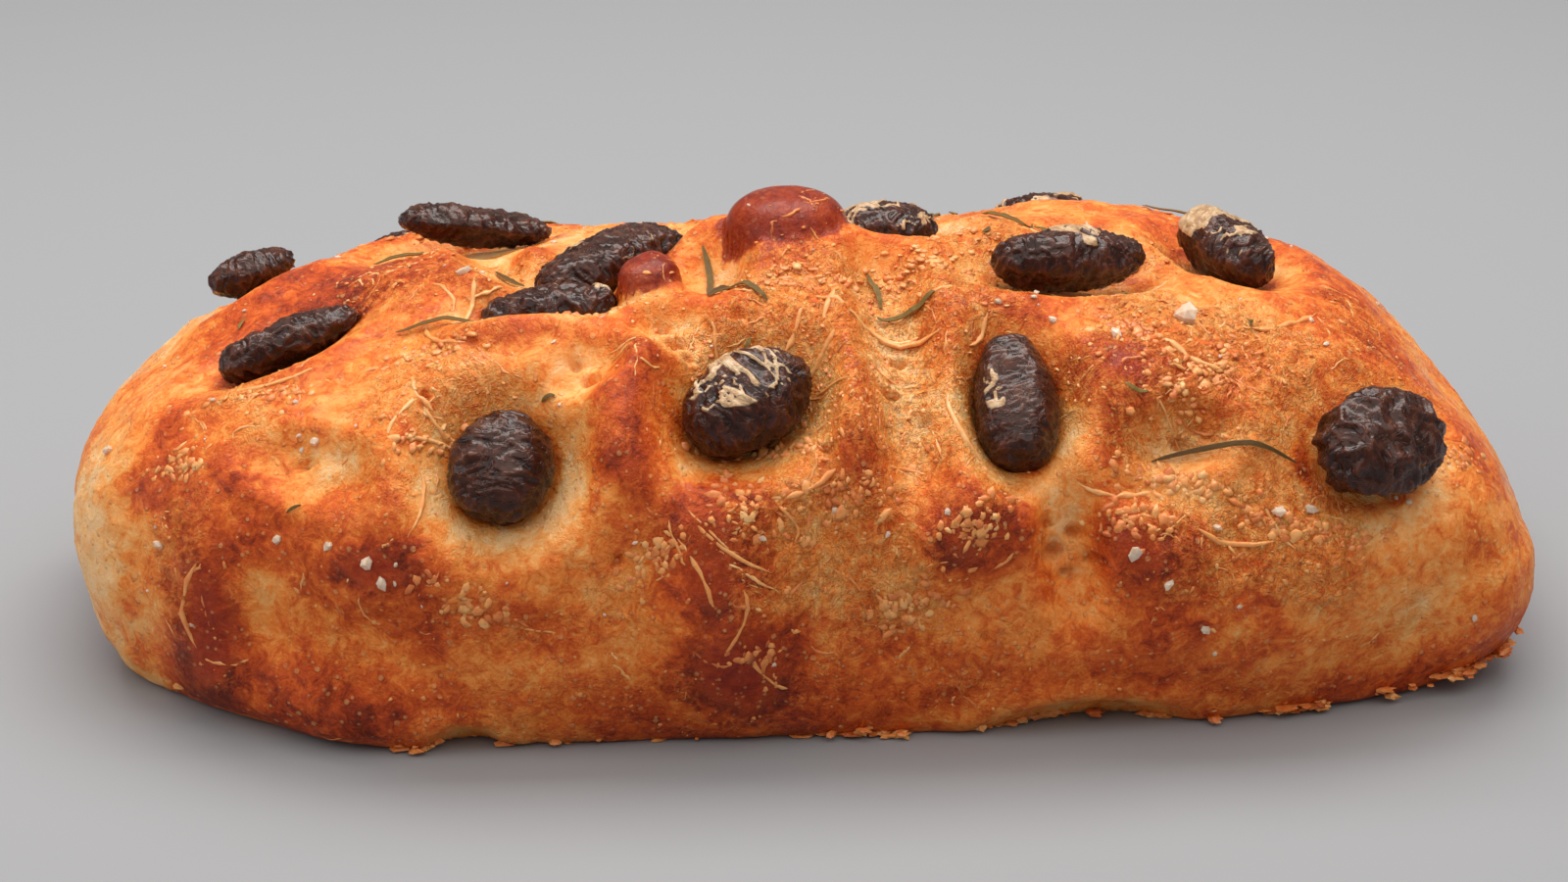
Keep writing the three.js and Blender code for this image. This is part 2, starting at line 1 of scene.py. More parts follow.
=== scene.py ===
"""The looks of an oblong olive focaccia loaf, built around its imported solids.

The loaf is worked out in millimetres, +X along it, -Y its front and +Z up, with the origin on its flat base,
and every mesh is written in metres. A place on the crust is given as x along the loaf and as degrees
round its girth: 0 at the front, 90 on top, 180 behind.
"""

import logging
import math
from dataclasses import astuple, dataclass, field
from enum import Enum

import bpy
import numpy as np
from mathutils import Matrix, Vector


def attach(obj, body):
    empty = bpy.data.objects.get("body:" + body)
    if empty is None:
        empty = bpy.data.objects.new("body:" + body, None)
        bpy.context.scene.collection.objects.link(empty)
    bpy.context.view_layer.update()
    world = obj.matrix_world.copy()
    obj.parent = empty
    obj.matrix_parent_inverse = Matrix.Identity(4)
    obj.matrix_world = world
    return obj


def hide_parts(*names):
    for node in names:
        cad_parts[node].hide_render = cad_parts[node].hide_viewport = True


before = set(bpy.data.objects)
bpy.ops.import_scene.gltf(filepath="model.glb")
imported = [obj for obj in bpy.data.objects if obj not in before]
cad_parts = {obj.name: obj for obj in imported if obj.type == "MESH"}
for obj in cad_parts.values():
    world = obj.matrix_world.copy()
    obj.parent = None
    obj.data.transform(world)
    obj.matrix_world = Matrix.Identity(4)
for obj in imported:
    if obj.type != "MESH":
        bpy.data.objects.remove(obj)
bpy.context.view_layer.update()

MM = 0.001
Points = np.ndarray

logging.basicConfig(level=logging.INFO, format="%(message)s")
log = logging.getLogger("focaccia")


# Numbers and noise

def smooth(a: float, b: float, value: Points) -> Points:
    """An S-shaped step from 0 at a to 1 at b: 3t squared less 2t cubed, t the clamped share of the way."""
    t = np.clip((value - a) / (b - a), 0.0, 1.0)
    return t * t * (3.0 - 2.0 * t)


def unit(vectors: Points) -> Points:
    """The vectors scaled to length 1 along the last axis."""
    return vectors / np.maximum(np.linalg.norm(vectors, axis=-1, keepdims=True), 1e-9)


def hashed(cell: Points, seed: int) -> Points:
    """A number from 0 to 1 for each whole-numbered cell, scrambled by shifts and odd factors.

    Args:
        cell: (..., 3) whole numbers.
        seed: chooses another scramble.

    Returns:
        (...) numbers from 0 to 1.
    """
    x, y, z = (cell[..., k].astype(np.int64) for k in range(3))
    h = (x * 374761393 + y * 668265263 + z * 1274126177 + seed * 461845907) & 0xFFFFFFFF
    h = ((h ^ (h >> 15)) * 2246822519) & 0xFFFFFFFF
    h = ((h ^ (h >> 13)) * 3266489917) & 0xFFFFFFFF
    return ((h ^ (h >> 16)) & 0xFFFFFF) / float(0xFFFFFF)


CORNERS = np.array([[i, j, k] for i in (0, 1) for j in (0, 1) for k in (0, 1)])
NEIGHBOURS = np.array([[i, j, k] for i in (-1, 0, 1) for j in (-1, 0, 1) for k in (-1, 0, 1)])
LEVEL = np.array([1.0, 1.0, 0.0])


def noise(points: Points, size: float, seed: int) -> Points:
    """Smooth gradient noise of about -1 to 1, with lumps of the given size.

    Each lattice corner round a point has a hashed slope, and the eight slopes' heights are blended by a
    fifth-power step.
    """
    p = points / size
    base = np.floor(p).astype(np.int64)
    f = p - base
    w = f * f * f * (f * (f * 6.0 - 15.0) + 10.0)
    total = np.zeros(len(p))
    for corner in CORNERS:
        cell = base + corner
        slope = np.stack([hashed(cell, seed + 7 * k) for k in range(3)], axis=-1) * 2.0 - 1.0
        share = np.prod(np.where(corner == 1, w, 1.0 - w), axis=-1)
        total += share * np.sum(slope * (f - corner), axis=-1)
    return total * 1.5


def fractal(points: Points, size: float, seed: int, octaves: int = 4, fade: float = 0.5) -> Points:
    """Noise summed over octaves, each half the size and fade times the strength of the last."""
    total = np.zeros(len(points))
    for k in range(octaves):
        total += fade**k * noise(points, size / 2**k, seed + 31 * k)
    return total


def ridges(points: Points, size: float, seed: int, sharp: float = 2.0) -> Points:
    """Thin winding ridges from 0 to 1: one less the noise's distance from zero, to a power."""
    return np.clip(1.0 - np.abs(noise(points, size, seed)) * 1.6, 0.0, 1.0) ** sharp


def cells(points: Points, size: float, seed: int) -> tuple[Points, Points, Points]:
    """Distance to the nearest and second nearest of one hashed point a lattice cell.

    Returns:
        Both distances as shares of the cell size, and a hashed number of the nearest point's cell.
    """
    p = points / size
    base = np.floor(p).astype(np.int64)
    near = np.full(len(p), 9.0)
    second = np.full(len(p), 9.0)
    mark = np.zeros(len(p))
    for offset in NEIGHBOURS:
        cell = base + offset
        spot = np.stack([hashed(cell, seed + 5 * k) for k in range(3)], axis=-1)
        d = np.linalg.norm(cell + spot - p, axis=-1)
        closer = d < near
        second = np.where(closer, near, np.minimum(second, d))
        mark = np.where(closer, hashed(cell, seed + 99), mark)
        near = np.where(closer, d, near)
    return near, second, mark


# The loaf's form

@dataclass(frozen=True)
class Place:
    """A place on the crust: its middle, its half sizes, how far it stands or sinks, and its turn."""

    x: float
    girth: float
    long: float
    wide: float
    amount: float
    turn: float = 0.0


@dataclass(frozen=True)
class Seat:
    """A frame on the plain loaf: a point, its outward normal, and the directions along and across."""

    point: Points
    normal: Points
    long: Points
    wide: Points


@dataclass(frozen=True)
class LoafForm:
    """The plain hand-shaped loaf, in millimetres.

    A dome on a squarish plan, widest at the waist and tucked in at the foot. Its left end is narrower and
    lower, and both ends swell out low down.
    """

    half_length: float = 115.0
    half_width: float = 54.0
    height: float = 62.5
    waist: float = 20.0
    tuck: float = 6.0
    plan_power: float = 4.0
    rise_power: float = 2.3
    rise_tilt: float = 0.02
    left_taper: float = 0.3
    left_drop: float = 1.6
    left_reach: float = 1.4
    right_lean: float = 10.5
    lean_start: float = 1.6
    lean_ease: float = 0.7
    end_bulge: float = 3.0

    def hand_shape(self, p: Points) -> Points:
        """Turns the even dome into the hand-shaped loaf by small shifts along each axis.

        Args:
            p: (n, 3) points of the even dome.

        Returns:
            (n, 3) points of the plain loaf.
        """
        x, y, z = p[:, 0], p[:, 1], p[:, 2]
        along = x / self.half_length
        up = np.clip((z - self.waist) / (self.height - self.waist), 0.0, 1.0)
        down = np.clip((self.waist - z) / self.waist, 0.0, 1.0)
        front = np.clip(-y / self.half_width, 0.0, 1.0)
        left = smooth(-0.45, -1.0, along)
        right = smooth(0.45, 1.0, along)
        lean = self.right_lean * up * (self.lean_start - self.lean_ease * up)
        shifted_x = x + right * (self.end_bulge - lean) + left * (self.end_bulge * down - self.left_reach)
        shifted_y = y * (1.0 - self.left_taper * left * (0.45 + 0.55 * front))
        shifted_z = z - up * (self.left_drop * smooth(0.0, -0.7, along) - smooth(0.45, 0.8, along))
        return np.stack([shifted_x, shifted_y, shifted_z], axis=-1)

    def from_cube(self, cube: Points) -> Points:
        """Draws the surface of a cube of half side 1 out to the plain loaf.

        The cube's top becomes the dome by a superellipsoid's radius, the upper part of its sides the walls,
        and the lower part a quarter ellipse from the waist in to the foot.
        """
        cx, cy, cz = cube[:, 0], cube[:, 1], cube[:, 2]
        reach = (np.abs(cx) ** self.plan_power + np.abs(cy) ** self.plan_power) ** (1 / self.plan_power)
        dome = np.maximum(cz, 0.0)
        scale = (reach**self.rise_power + dome**self.rise_power) ** (-1 / self.rise_power)
        rise = (self.height - self.waist) * (1.0 + self.rise_tilt * cx * scale)
        upper = np.stack(
            [self.half_length * cx * scale, self.half_width * cy * scale, self.waist + rise * dome * scale],
            axis=-1,
        )
        roll = -np.minimum(cz, 0.0) * math.pi / 2
        inset = self.tuck * (1.0 - np.cos(roll))
        wall = np.maximum(reach, 1e-6)
        lower = np.stack(
            [
                (self.half_length - inset) * cx / wall,
                (self.half_width - inset) * cy / wall,
                self.waist * (1.0 - np.sin(roll)),
            ],
            axis=-1,
        )
        return self.hand_shape(np.where((cz < 0)[:, None], lower, upper))

    def at(self, x: Points, girth: Points) -> Points:
        """Points of the plain loaf at x along it and so many degrees round, found by halving.

        Args:
            x: (n,) millimetres along the loaf.
            girth: (n,) degrees round its girth.

        Returns:
            (n, 3) points.
        """
        x = np.atleast_1d(np.asarray(x, float))
        girth = np.radians(np.atleast_1d(np.asarray(girth, float)))
        across, upward = np.cos(girth), np.sin(girth)
        rise = (self.height - self.waist) * (1.0 + self.rise_tilt * x / self.half_length)
        near = np.zeros(len(x))
        far = np.full(len(x), 2.0 * self.half_length)
        for _ in range(40):
            t = (near + far) / 2
            plan = np.abs(x / self.half_length) ** self.plan_power
            plan = plan + np.abs(t * across / self.half_width) ** self.plan_power
            dome = np.maximum(t * upward / rise, 0.0) ** self.rise_power
            outside = plan ** (self.rise_power / self.plan_power) + dome > 1.0
            far = np.where(outside, t, far)
            near = np.where(outside, near, t)
        return self.hand_shape(np.stack([x, -near * across, self.waist + near * upward], axis=-1))

    def seats(self, x: Points, girth: Points, turn: Points = 0.0) -> Seat:
        """Frames on the plain loaf, from small steps along and round it.

        Args:
            x: (n,) millimetres along the loaf.
            girth: (n,) degrees round its girth.
            turn: degrees by which the long direction is turned from along towards round.

        Returns:
            One Seat whose fields are (n, 3) arrays.
        """
        x = np.atleast_1d(np.asarray(x, float))
        girth = np.atleast_1d(np.asarray(girth, float))
        step = 0.5
        point = self.at(x, girth)
        along = unit(self.at(x + step, girth) - self.at(x - step, girth))
        around = unit(self.at(x, girth + step) - self.at(x, girth - step))
        normal = unit(np.cross(along, around))
        around = np.cross(normal, along)
        c = np.cos(np.radians(np.atleast_1d(turn)))[:, None]
        s = np.sin(np.radians(np.atleast_1d(turn)))[:, None]
        return Seat(point, normal, along * c + around * s, around * c - along * s)


LOAF = LoafForm()


@dataclass(frozen=True)
class OliveSpot:
    """One olive, or one bubble of the crust.

    It has a place, half sizes along, across and through, a turn, its centre's lift over the plain crust, the
    depth of its bed, and the pitch that lifts one end. The margin is how much wider its bed is, and blunt is
    the power of the sine that draws it in at its ends. Its cheese is a share of lace, and its veil is where
    along it, from -1 to 1, melted cheese starts to cover it. Its facets and its crumple are how deeply it
    has shrunk, and fold is the spacing of its wrinkles.
    """

    name: str
    x: float
    girth: float
    half: tuple[float, float, float]
    turn: float
    lift: float
    bed: float
    pitch: float = 0.0
    margin: float = 3.4
    blunt: float = 0.86
    cheese: float = 0.0
    veil: float = 2.0
    facets: float = 0.15
    fold: float = 2.0
    crumple: float = 1.0
    seed: int = 1


OLIVES = (
    OliveSpot("front_left", -47, 31, (8.6, 7.8, 6.6), 78, -2.6, 7.5, fold=1.9, seed=101),
    OliveSpot("front_middle", -9.5, 40.5, (10.6, 7.4, 6.6), 34, -1.6, 7.5, cheese=0.85, seed=211),
    OliveSpot("front_deep", 31, 39.5, (11, 6.4, 6.2), 92, -3.0, 7.5, margin=2, blunt=0.48,
              cheese=0.22, fold=1.3, crumple=0.6, seed=307),
    OliveSpot("front_right", 88.2, 28, (11, 8.2, 6.4), 14, 2.4, 3.5, facets=0.85, fold=1.9,
              crumple=0.9, seed=401),
    OliveSpot("left_shoulder", -79.6, 72.5, (11.6, 3.9, 3.8), 23, 0.1, 3.2, blunt=0.62, seed=503),
    OliveSpot("left_end", -86.3, 126, (7.8, 4.8, 3.6), 22, 3.9, 2, -8, seed=601),
    OliveSpot("left_back", -51, 119, (12.8, 5.4, 3.2), 12, 2.1, 3.4, -17, blunt=0.7, seed=701),
    OliveSpot("pair_back", -31.5, 89, (11.4, 6, 4.7), 38, -1.3, 6, 4, blunt=0.7, cheese=0.12, seed=809),
    OliveSpot("pair_front", -39.5, 69.5, (10.6, 4.6, 4.2), 2, -1.9, 5.4, margin=1.8, blunt=0.66,
              cheese=0.2, seed=907),
    OliveSpot("middle_back", -25, 111, (8.4, 6, 4.2), 6, -3.9, 6.4, seed=1009),
    OliveSpot("top_middle", 16, 103, (8.2, 5.8, 4), -4, -0.8, 4.6, cheese=0.7, seed=1103),
    OliveSpot("top_right", 43, 77, (12.8, 5.2, 5), 11, 1.6, 4.2, blunt=0.7, cheese=0.3, seed=1201),
    OliveSpot("right_shoulder", 72.5, 96.5, (9.8, 5.9, 5.1), -60, 2.2, 4.2, blunt=0.7, cheese=0.3,
              veil=0.1, seed=1301),
    OliveSpot("rear_left", -62, 150, (10.2, 7, 6), 20, -0.8, 6, cheese=0.2, seed=1409),
    OliveSpot("rear_right", 46, 148, (10.6, 7.2, 6), 150, 0.2, 5.4, cheese=0.5, seed=1511),
)
HOLLOWS = (
    Place(14, 46, 21, 6.5, 4.6, 92),
    Place(38, 13, 11, 4.5, 3.4, 96),
    Place(-75, 30, 11, 5, 2.4, -12),
    Place(-34, 47, 6, 4.5, 2.8, 20),
    Place(-20, 55, 6, 5, 3.0, 0),
    Place(56, 31, 8, 4.5, 2.8, 8),
    Place(-14, 80, 6, 8, 4.6, 0),
    Place(13, 72, 6, 7, 3.4, 0),
    Place(-48, 96, 5, 11, 3.6, 10),
    Place(-24, 124, 24, 14, 2.8, 0),
    Place(24, 124, 17, 13, 2.2, 0),
    Place(-4, 150, 8, 6, 5.0, 40),
    Place(-90, 138, 7, 5, 3.0, 0),
    Place(86, 140, 7, 6, 4.0, 30),
    Place(20, 162, 11, 5, 3.2, 84),
    Place(-54, -21, 5, 5, 2.6, 90),
    Place(42, -20, 13, 5, 3.6, 0),
)
SWELLINGS = (
    Place(-1, 88, 11, 12, 4, 0),
    Place(-24, 74, 6, 6, 2.4, 0),
    Place(7, 38, 17, 5.5, 3.2, 94),
    Place(-27, 36, 17, 7, 3.2, 84),
    Place(-14, 6, 19, 10, 3.0, 90),
    Place(22, 17, 9, 8, 3.2, 0),
    Place(49, 42, 10, 8, 2.6, 0),
    Place(50, 14, 9, 7, 2.6, 0),
    Place(66, 2, 24, 12, 2.4, 0),
    Place(-92, 2, 19, 9, 3.0, 86),
    Place(-66, 12, 11, 7, 1.8, -10),
    Place(-77, -15, 20, 9, 5.0, 0),
    Place(106, -12, 14, 10, 3.0, 0),
    Place(-43, 59, 11, 4.5, 2.4, -4),
    Place(-86, 113, 15, 10, 3.6, 0),
    Place(-66, 86, 24, 13, 2.4, 10),
    Place(90, 84, 17, 26, 3.2, 0),
    Place(-41.5, 103, 7, 9, -3.2, 0),
    Place(35, 90, 7, 9, 1.4, 0),
    Place(104, 2, 14, 12, 1.2, 0),
    Place(-36, 160, 18, 9, 3.0, 80),
    Place(62, 176, 22, 12, 2.6, 0),
)
BUBBLES = (
    OliveSpot("great", -1, 91, (9.8, 8.4, 6.9), 0, 1.8, 0),
    OliveSpot("small", -23.5, 72.4, (5.0, 4.4, 2.9), 34, 1.4, 0),
    OliveSpot("rear", 20, 158, (6.4, 5.6, 4.4), 0, 1.6, 0),
)
# Small open holes where bubbles of the dough burst: x, girth, radius
HOLES = (
    (35.5, 12, 1.7), (39, 15.5, 1.3), (41.5, 11, 1.0), (38, 8, 1.2), (34.5, 17.5, 0.9),
    (-33, 46, 1.3), (-35.5, 50, 0.9), (-20, 54, 1.4), (-22, 58, 1.0), (-18.5, 50, 0.8),
    (12, 42, 1.2), (17, 36, 0.9), (14, 51, 1.3), (18.5, 56, 1.0), (11, 33, 0.8),
    (-10, 59, 1.2), (-4, 60, 0.9), (2, 30, 1.0), (56, 31, 1.3), (-77, 31, 1.1),
    (-30, 14, 0.8), (63, -4, 0.8), (25, -2, 0.8), (-58, 44, 0.9), (-8, 152, 1.4),
    (21, 160, 1.2), (18, 168, 1.0), (-88, 139, 1.1), (87, 141, 1.3), (66, 150, 0.9),
)


@dataclass(frozen=True)
class Patches:
    """Ragged patches on the crust: places whose edges a noise frays."""

    places: tuple[Place, ...]
    ragged: float = 0.35
    grain: float = 9.0
    seed: int = 5

    def strength(self, plain: Points) -> Points:
        """The strongest patch's amount at each point of the plain loaf, fading to 0 outside them all."""
        fray = self.ragged * fractal(plain, self.grain, self.seed, 3)
        total = np.zeros(len(plain))
        for place in self.places:
            seat = LOAF.seats(place.x, place.girth, place.turn)
            q = seat_share(plain, seat, (place.long, place.wide)) + fray
            total = np.maximum(total, place.amount * smooth(1.35, 0.45, q))
        return total


def seat_share(p: Points, seat: Seat, half: tuple[float, float]) -> Points:
    """How far points are from a seat's middle: 0 there, 1 on the ellipse of its half sizes.

    Points far under or over the seat count as outside it.
    """
    d = p - seat.point
    flat = np.hypot(d @ seat.long[0] / half[0], d @ seat.wide[0] / half[1])
    return flat + 3.0 * smooth(15.0, 30.0, np.abs(d @ seat.normal[0]))


BROWN = Patches(
    (
        Place(7, 36, 17, 5, 0.4, 94), Place(-27, 38, 17, 7, 0.5, 84), Place(-15, 14, 13, 9, 0.85, 90),
        Place(-12, -6, 11, 11, 0.95, 90), Place(22, 16, 8, 7, 0.75), Place(47, 42, 9, 7, 0.8),
        Place(48, 14, 9, 6, 0.8), Place(10, 0, 9, 6, 0.6), Place(-90, 0, 20, 8, 0.85, 86),
        Place(-97, 30, 10, 12, 0.6), Place(-66, 13, 9, 5, 0.85), Place(53, 4, 8, 7, 0.5),
        Place(93, 60, 14, 9, 0.4), Place(-60, 108, 9, 8, 0.5), Place(108, 28, 8, 9, 0.55),
        Place(52, -8, 4, 4, 0.5), Place(-75, 94, 22, 12, 0.62), Place(-100, 54, 14, 12, 0.35),
        Place(-84, 22, 20, 12, 0.5),
        Place(62, 42, 20, 9, 0.4), Place(92, 82, 14, 14, 0.1), Place(-22, 86, 8, 14, 0.3),
        Place(78, 22, 10, 8, 0.45), Place(34, 62, 8, 6, 0.3), Place(-30, 150, 16, 10, 0.6),
        Place(60, 165, 18, 10, 0.7), Place(18, 130, 14, 8, 0.5), Place(-92, 165, 12, 10, 0.6),
        Place(100, 150, 10, 12, 0.6), Place(0, 178, 14, 10, 0.75), Place(-60, 176, 14, 9, 0.6),
        Place(-52, 2, 20, 7, 0.5), Place(-74, 0, 12, 7, 0.4), Place(-84, 56, 16, 8, 0.3),
        Place(-48, 60, 10, 6, 0.3), Place(-62, -10, 16, 5, 0.35), Place(72, 120, 16, 10, 0.45),
    ),
)
SCORCHED = Patches(
    (
        Place(-1, 91, 8.5, 8.5, 0.8), Place(-23.5, 73, 5, 4.5, 0.8), Place(-16, 14, 8, 5, 0.5, 80),
        Place(-12, -4, 9, 7, 0.7, 90), Place(47, 42, 5, 4, 0.55), Place(48, 13, 5, 3.5, 0.5),
        Place(-90, -2, 15, 5, 0.6, 86), Place(-66, 13, 6, 3, 0.6), Place(22, 16, 4, 4, 0.35),
        Place(0, 178, 8, 6, 0.6), Place(60, 166, 10, 5, 0.5), Place(-92, 166, 7, 5, 0.5),
        Place(20, 158, 6, 5.5, 0.75),
    ),
    ragged=0.3, grain=5.0, seed=17,
)
PALE = Patches(
    (
        Place(-113, 15, 12, 34, 1.0), Place(-46, -20, 22, 7, 0.5), Place(38, -18, 30, 6, 0.5),
        Place(14, 46, 20, 5, 0.5, 92), Place(38, 13, 10, 4, 0.6, 96), Place(-34, 47, 6, 5, 0.5),
        Place(-20, 54, 6, 5, 0.5), Place(-75, 30, 10, 4, 0.4), Place(56, 31, 8, 4, 0.5),
        Place(86, -6, 24, 12, 0.3), Place(60, 64, 16, 9, 0.4), Place(50, 96, 16, 8, 0.4),
        Place(-90, -24, 12, 5, 0.4), Place(-14, 80, 6, 8, 0.4),
        Place(13, 72, 6, 7, 0.45), Place(-48, 96, 5, 10, 0.4), Place(-30, 122, 34, 6, 0.3),
        Place(-4, 150, 8, 6, 0.5), Place(86, 140, 7, 6, 0.4), Place(20, 162, 10, 4, 0.5, 84),
        Place(-108, 160, 12, 24, 0.8), Place(40, 200, 40, 7, 0.5), Place(-50, 198, 30, 7, 0.5),
    ),
    ragged=0.4, grain=8.0, seed=29,
)
CHEESY = Patches(
    (
        Place(6, 50, 28, 26, 1.0), Place(2, 16, 22, 16, 0.65), Place(62, 46, 24, 16, 0.95),
        Place(66, 15, 20, 11, 0.85), Place(-55, 50, 14, 12, 0.55), Place(-84, 50, 14, 9, 0.35),
        Place(-48, 88, 26, 12, 0.55), Place(-92, 2, 9, 15, 0.45), Place(90, 56, 12, 12, 0.5),
        Place(-40, 5, 18, 8, 0.4), Place(40, 90, 30, 13, 0.55), Place(10, 138, 46, 18, 0.55),
        Place(-62, 150, 24, 13, 0.45), Place(70, 142, 22, 14, 0.45), Place(0, 0, 105, 90, 0.14),
        Place(0, 180, 100, 80, 0.14),
    ),
    ragged=0.5, grain=12.0, seed=41,
)


@dataclass(frozen=True)
class Relief:
    """The crust's relief over the plain loaf, in millimetres along its outward direction."""

    base_height: float = 9.0
    slow_wave: float = 0.7
    quick_wave: float = 0.3
    crag: float = 0.5
    web: float = 0.55
    socket_gap: float = 0.45
    blend: float = 1.5

    def main(self, p: Points) -> Points:
        """Swellings less hollows with raised lips, the dough's slow waves, and the standing bubbles."""
        height = np.zeros(len(p))
        sunk = np.zeros(len(p))
        for s in SWELLINGS:
            q = seat_share(p, LOAF.seats(s.x, s.girth, s.turn), (s.long, s.wide))
            height += s.amount * smooth(1.45, 0.15, q)
        beds = [
            Place(o.x, o.girth, o.half[0] + o.margin, o.half[1] + o.margin, o.bed, o.turn) for o in OLIVES
        ]
        for h in (*beds, *HOLLOWS):
            q = seat_share(p, LOAF.seats(h.x, h.girth, h.turn), (h.long, h.wide))
            height += 0.16 * h.amount * np.exp(-(((q - 1.5) / 0.34) ** 2))
            sunk = np.hypot(sunk, h.amount * smooth(1.4, 0.4, q))
        x, y, z = p[:, 0], p[:, 1], p[:, 2]
        slow = np.sin(x / 13 + 0.6) * np.sin(y / 11 + z / 9 + 1.1)
        quick = np.sin(x / 6.1 + 2) * np.sin(y / 5.3 - z / 6.7)
        height += self.slow_wave * slow + self.quick_wave * quick - sunk
        for b in BUBBLES:
            q = seat_share(p, LOAF.seats(b.x, b.girth, b.turn), b.half[:2])
            dome = b.lift + b.half[2] * np.clip(1.0 - q**2.6, 0.0, 1.0) ** 0.42
            over = np.where(q < 1.0, dome - height, -2.0)
            height = height + 0.5 * (over + np.hypot(over, self.blend * smooth(1.6, 1.0, q)))
        return height

    def sockets(self, p: Points, height: Points) -> Points:
        """Lowers the crust under each olive to the olive's own underside, so that a dark gap rings it."""
        for o in OLIVES:
            seat = LOAF.seats(o.x, o.girth, o.turn)
            d = p - seat.point
            pitch = math.tan(math.radians(o.pitch))
            q = seat_share(p, seat, (o.half[0] + self.socket_gap, o.half[1] + self.socket_gap))
            under = o.lift + pitch * (d @ seat.long[0])
            under = under - (o.half[2] + self.socket_gap) * np.sqrt(np.clip(1.0 - q * q, 0.0, 1.0))
            height = np.where(q < 1.0, np.minimum(height, under), height)
        return height

    def direction(self, normal: Points, z: Points) -> Points:
        """Outward directions that turn level near the foot, so that the base stays flat."""
        turned = normal * LEVEL
        turned[:, 2] = normal[:, 2] * smooth(0.0, self.base_height, z)
        return unit(turned)


@dataclass
class CrustFields:
    """The crust at each of its points: marks from about 0 to 1, and its lift in millimetres."""

    toast: Points
    scorch: Points
    cheese: Points
    cover: Points
    wet: Points
    lift: Points


def crust_fields(p: Points, relief: Relief) -> CrustFields:
    """Works out the crust's relief and its marks at points of the plain loaf.

    The toast follows a slow noise, the swellings and the brown patches, less the pale patches and the
    beds, and rises towards the foot, partly as the foot's browning and partly as painted shade. It also
    carries painted shade as darker orange in a ring round each olive and on the upper wall of each olive's
    bed. Melted cheese is a web of thin ridges and small lumps where the cheesy patches are. Fine crags
    roughen everything but the bubbles.

    Args:
        p: (n, 3) points of the plain loaf.
        relief: the relief's sizes.

    Returns:
        The fields, lift being the whole relief in millimetres.
    """
    main = relief.main(p)
    pale = PALE.strength(p)
    brown = BROWN.strength(p)
    scorch = SCORCHED.strength(p)
    cheesy = CHEESY.strength(p)
    bed = np.zeros(len(p))
    rim = np.zeros(len(p))
    painted_pit_shade = np.zeros(len(p))
    for o in OLIVES:
        seat = LOAF.seats(o.x, o.girth, o.turn)
        own = smooth(1.3, 0.9, seat_share(p, seat, (o.half[0] + 4.5, o.half[1] + 4.5)))
        upward = unit(np.cross(seat.normal[0], np.array([1.0, 0.0, 0.0])))
        # Painted shade: the upper wall of each olive's bed gets a darker orange, as the shade that falls on
        # it.
        painted_pit_shade = np.maximum(painted_pit_shade, own * smooth(-3.0, 7.0, (p - seat.point) @ upward))
        bed = np.maximum(bed, own)
        # Painted shade: a narrow ring just outside each olive is made darker orange, as the shade in the gap
        # round it.
        rim = np.maximum(rim, np.exp(-(((seat_share(p, seat, o.half[:2]) - 1.07) / 0.13) ** 2)))
    blistered = np.zeros(len(p))
    fray = 0.12 * fractal(p, 3.0, 59, 2)
    for b in BUBBLES:
        q = seat_share(p, LOAF.seats(b.x, b.girth, b.turn), b.half[:2]) + fray
        blistered = np.maximum(blistered, smooth(1.25, 0.95, q))
    scorch = np.maximum(scorch, 0.8 * blistered)
    web = np.maximum(0.85 * ridges(p, 4.6, 61, 3.2), 0.95 * ridges(p + 40, 2.7, 67, 3.0))
    grains_near, _, grains_mark = cells(p, 2.3, 71)
    lump = smooth(0.5, 0.15, grains_near) * (grains_mark > 0.45)
    cover = np.clip(cheesy * 1.2 + 0.35 * fractal(p, 10, 73, 3) * (cheesy > 0.05), 0.0, 1.0)
    smooth_skin = np.clip(scorch * 1.3, 0.0, 1.0)
    cheese = np.clip(cover * np.maximum(smooth(0.35, 0.8, web), 0.85 * lump), 0.0, 1.0)
    cheese = cheese * (1.0 - 0.7 * smooth_skin)
    crag = 0.55 * fractal(p, 7.0, 79, 3) + 0.45 * fractal(p, 2.6, 83, 2)
    fine = relief.crag * crag * (1.0 - 0.75 * smooth_skin) * (1.0 - 0.4 * bed)
    holes = np.zeros(len(p))
    for x, girth, radius in HOLES:
        spot = LOAF.seats(x, girth)
        q = seat_share(p, spot, (radius * 1.25, radius))
        holes = np.maximum(holes, radius * 1.7 * smooth(1.25, 0.35, q))
    height = relief.sockets(p, main + fine + relief.web * cheese * (1.0 - 0.5 * bed) - holes)
    slow = fractal(p, 24.0, 89, 3)
    quick = fractal(p, 5.0, 97, 3)
    crown = smooth(10.0, 45.0, p[:, 2])
    toast = 0.36 + 0.13 * slow + 0.09 * quick + 0.05 * crown + 0.38 * brown
    toast = toast + 0.035 * np.clip(main, -3.5, 3.5)
    # The beds are paler, and their upper walls darker again as painted shade.
    toast = toast - 0.34 * pale - 0.2 * bed * (1.0 - brown) + 0.16 * painted_pit_shade
    # Darker towards the foot: partly the foot's browning, partly painted shade; the rim term is the painted
    # shade round each olive.
    toast = toast + 0.34 * rim + 0.34 * smooth(22.0, 0.0, p[:, 2]) * (1.0 - 0.6 * pale)
    wet = np.clip(0.35 + 0.5 * fractal(p, 9.0, 101, 3) + 0.6 * scorch + 0.25 * bed + 0.4 * rim, 0.0, 1.0)
    shown = cover * (1 - smooth_skin)
    return CrustFields(np.clip(toast, 0, 1), np.clip(scorch, 0, 1), cheese, shown, wet, height)


# Meshes

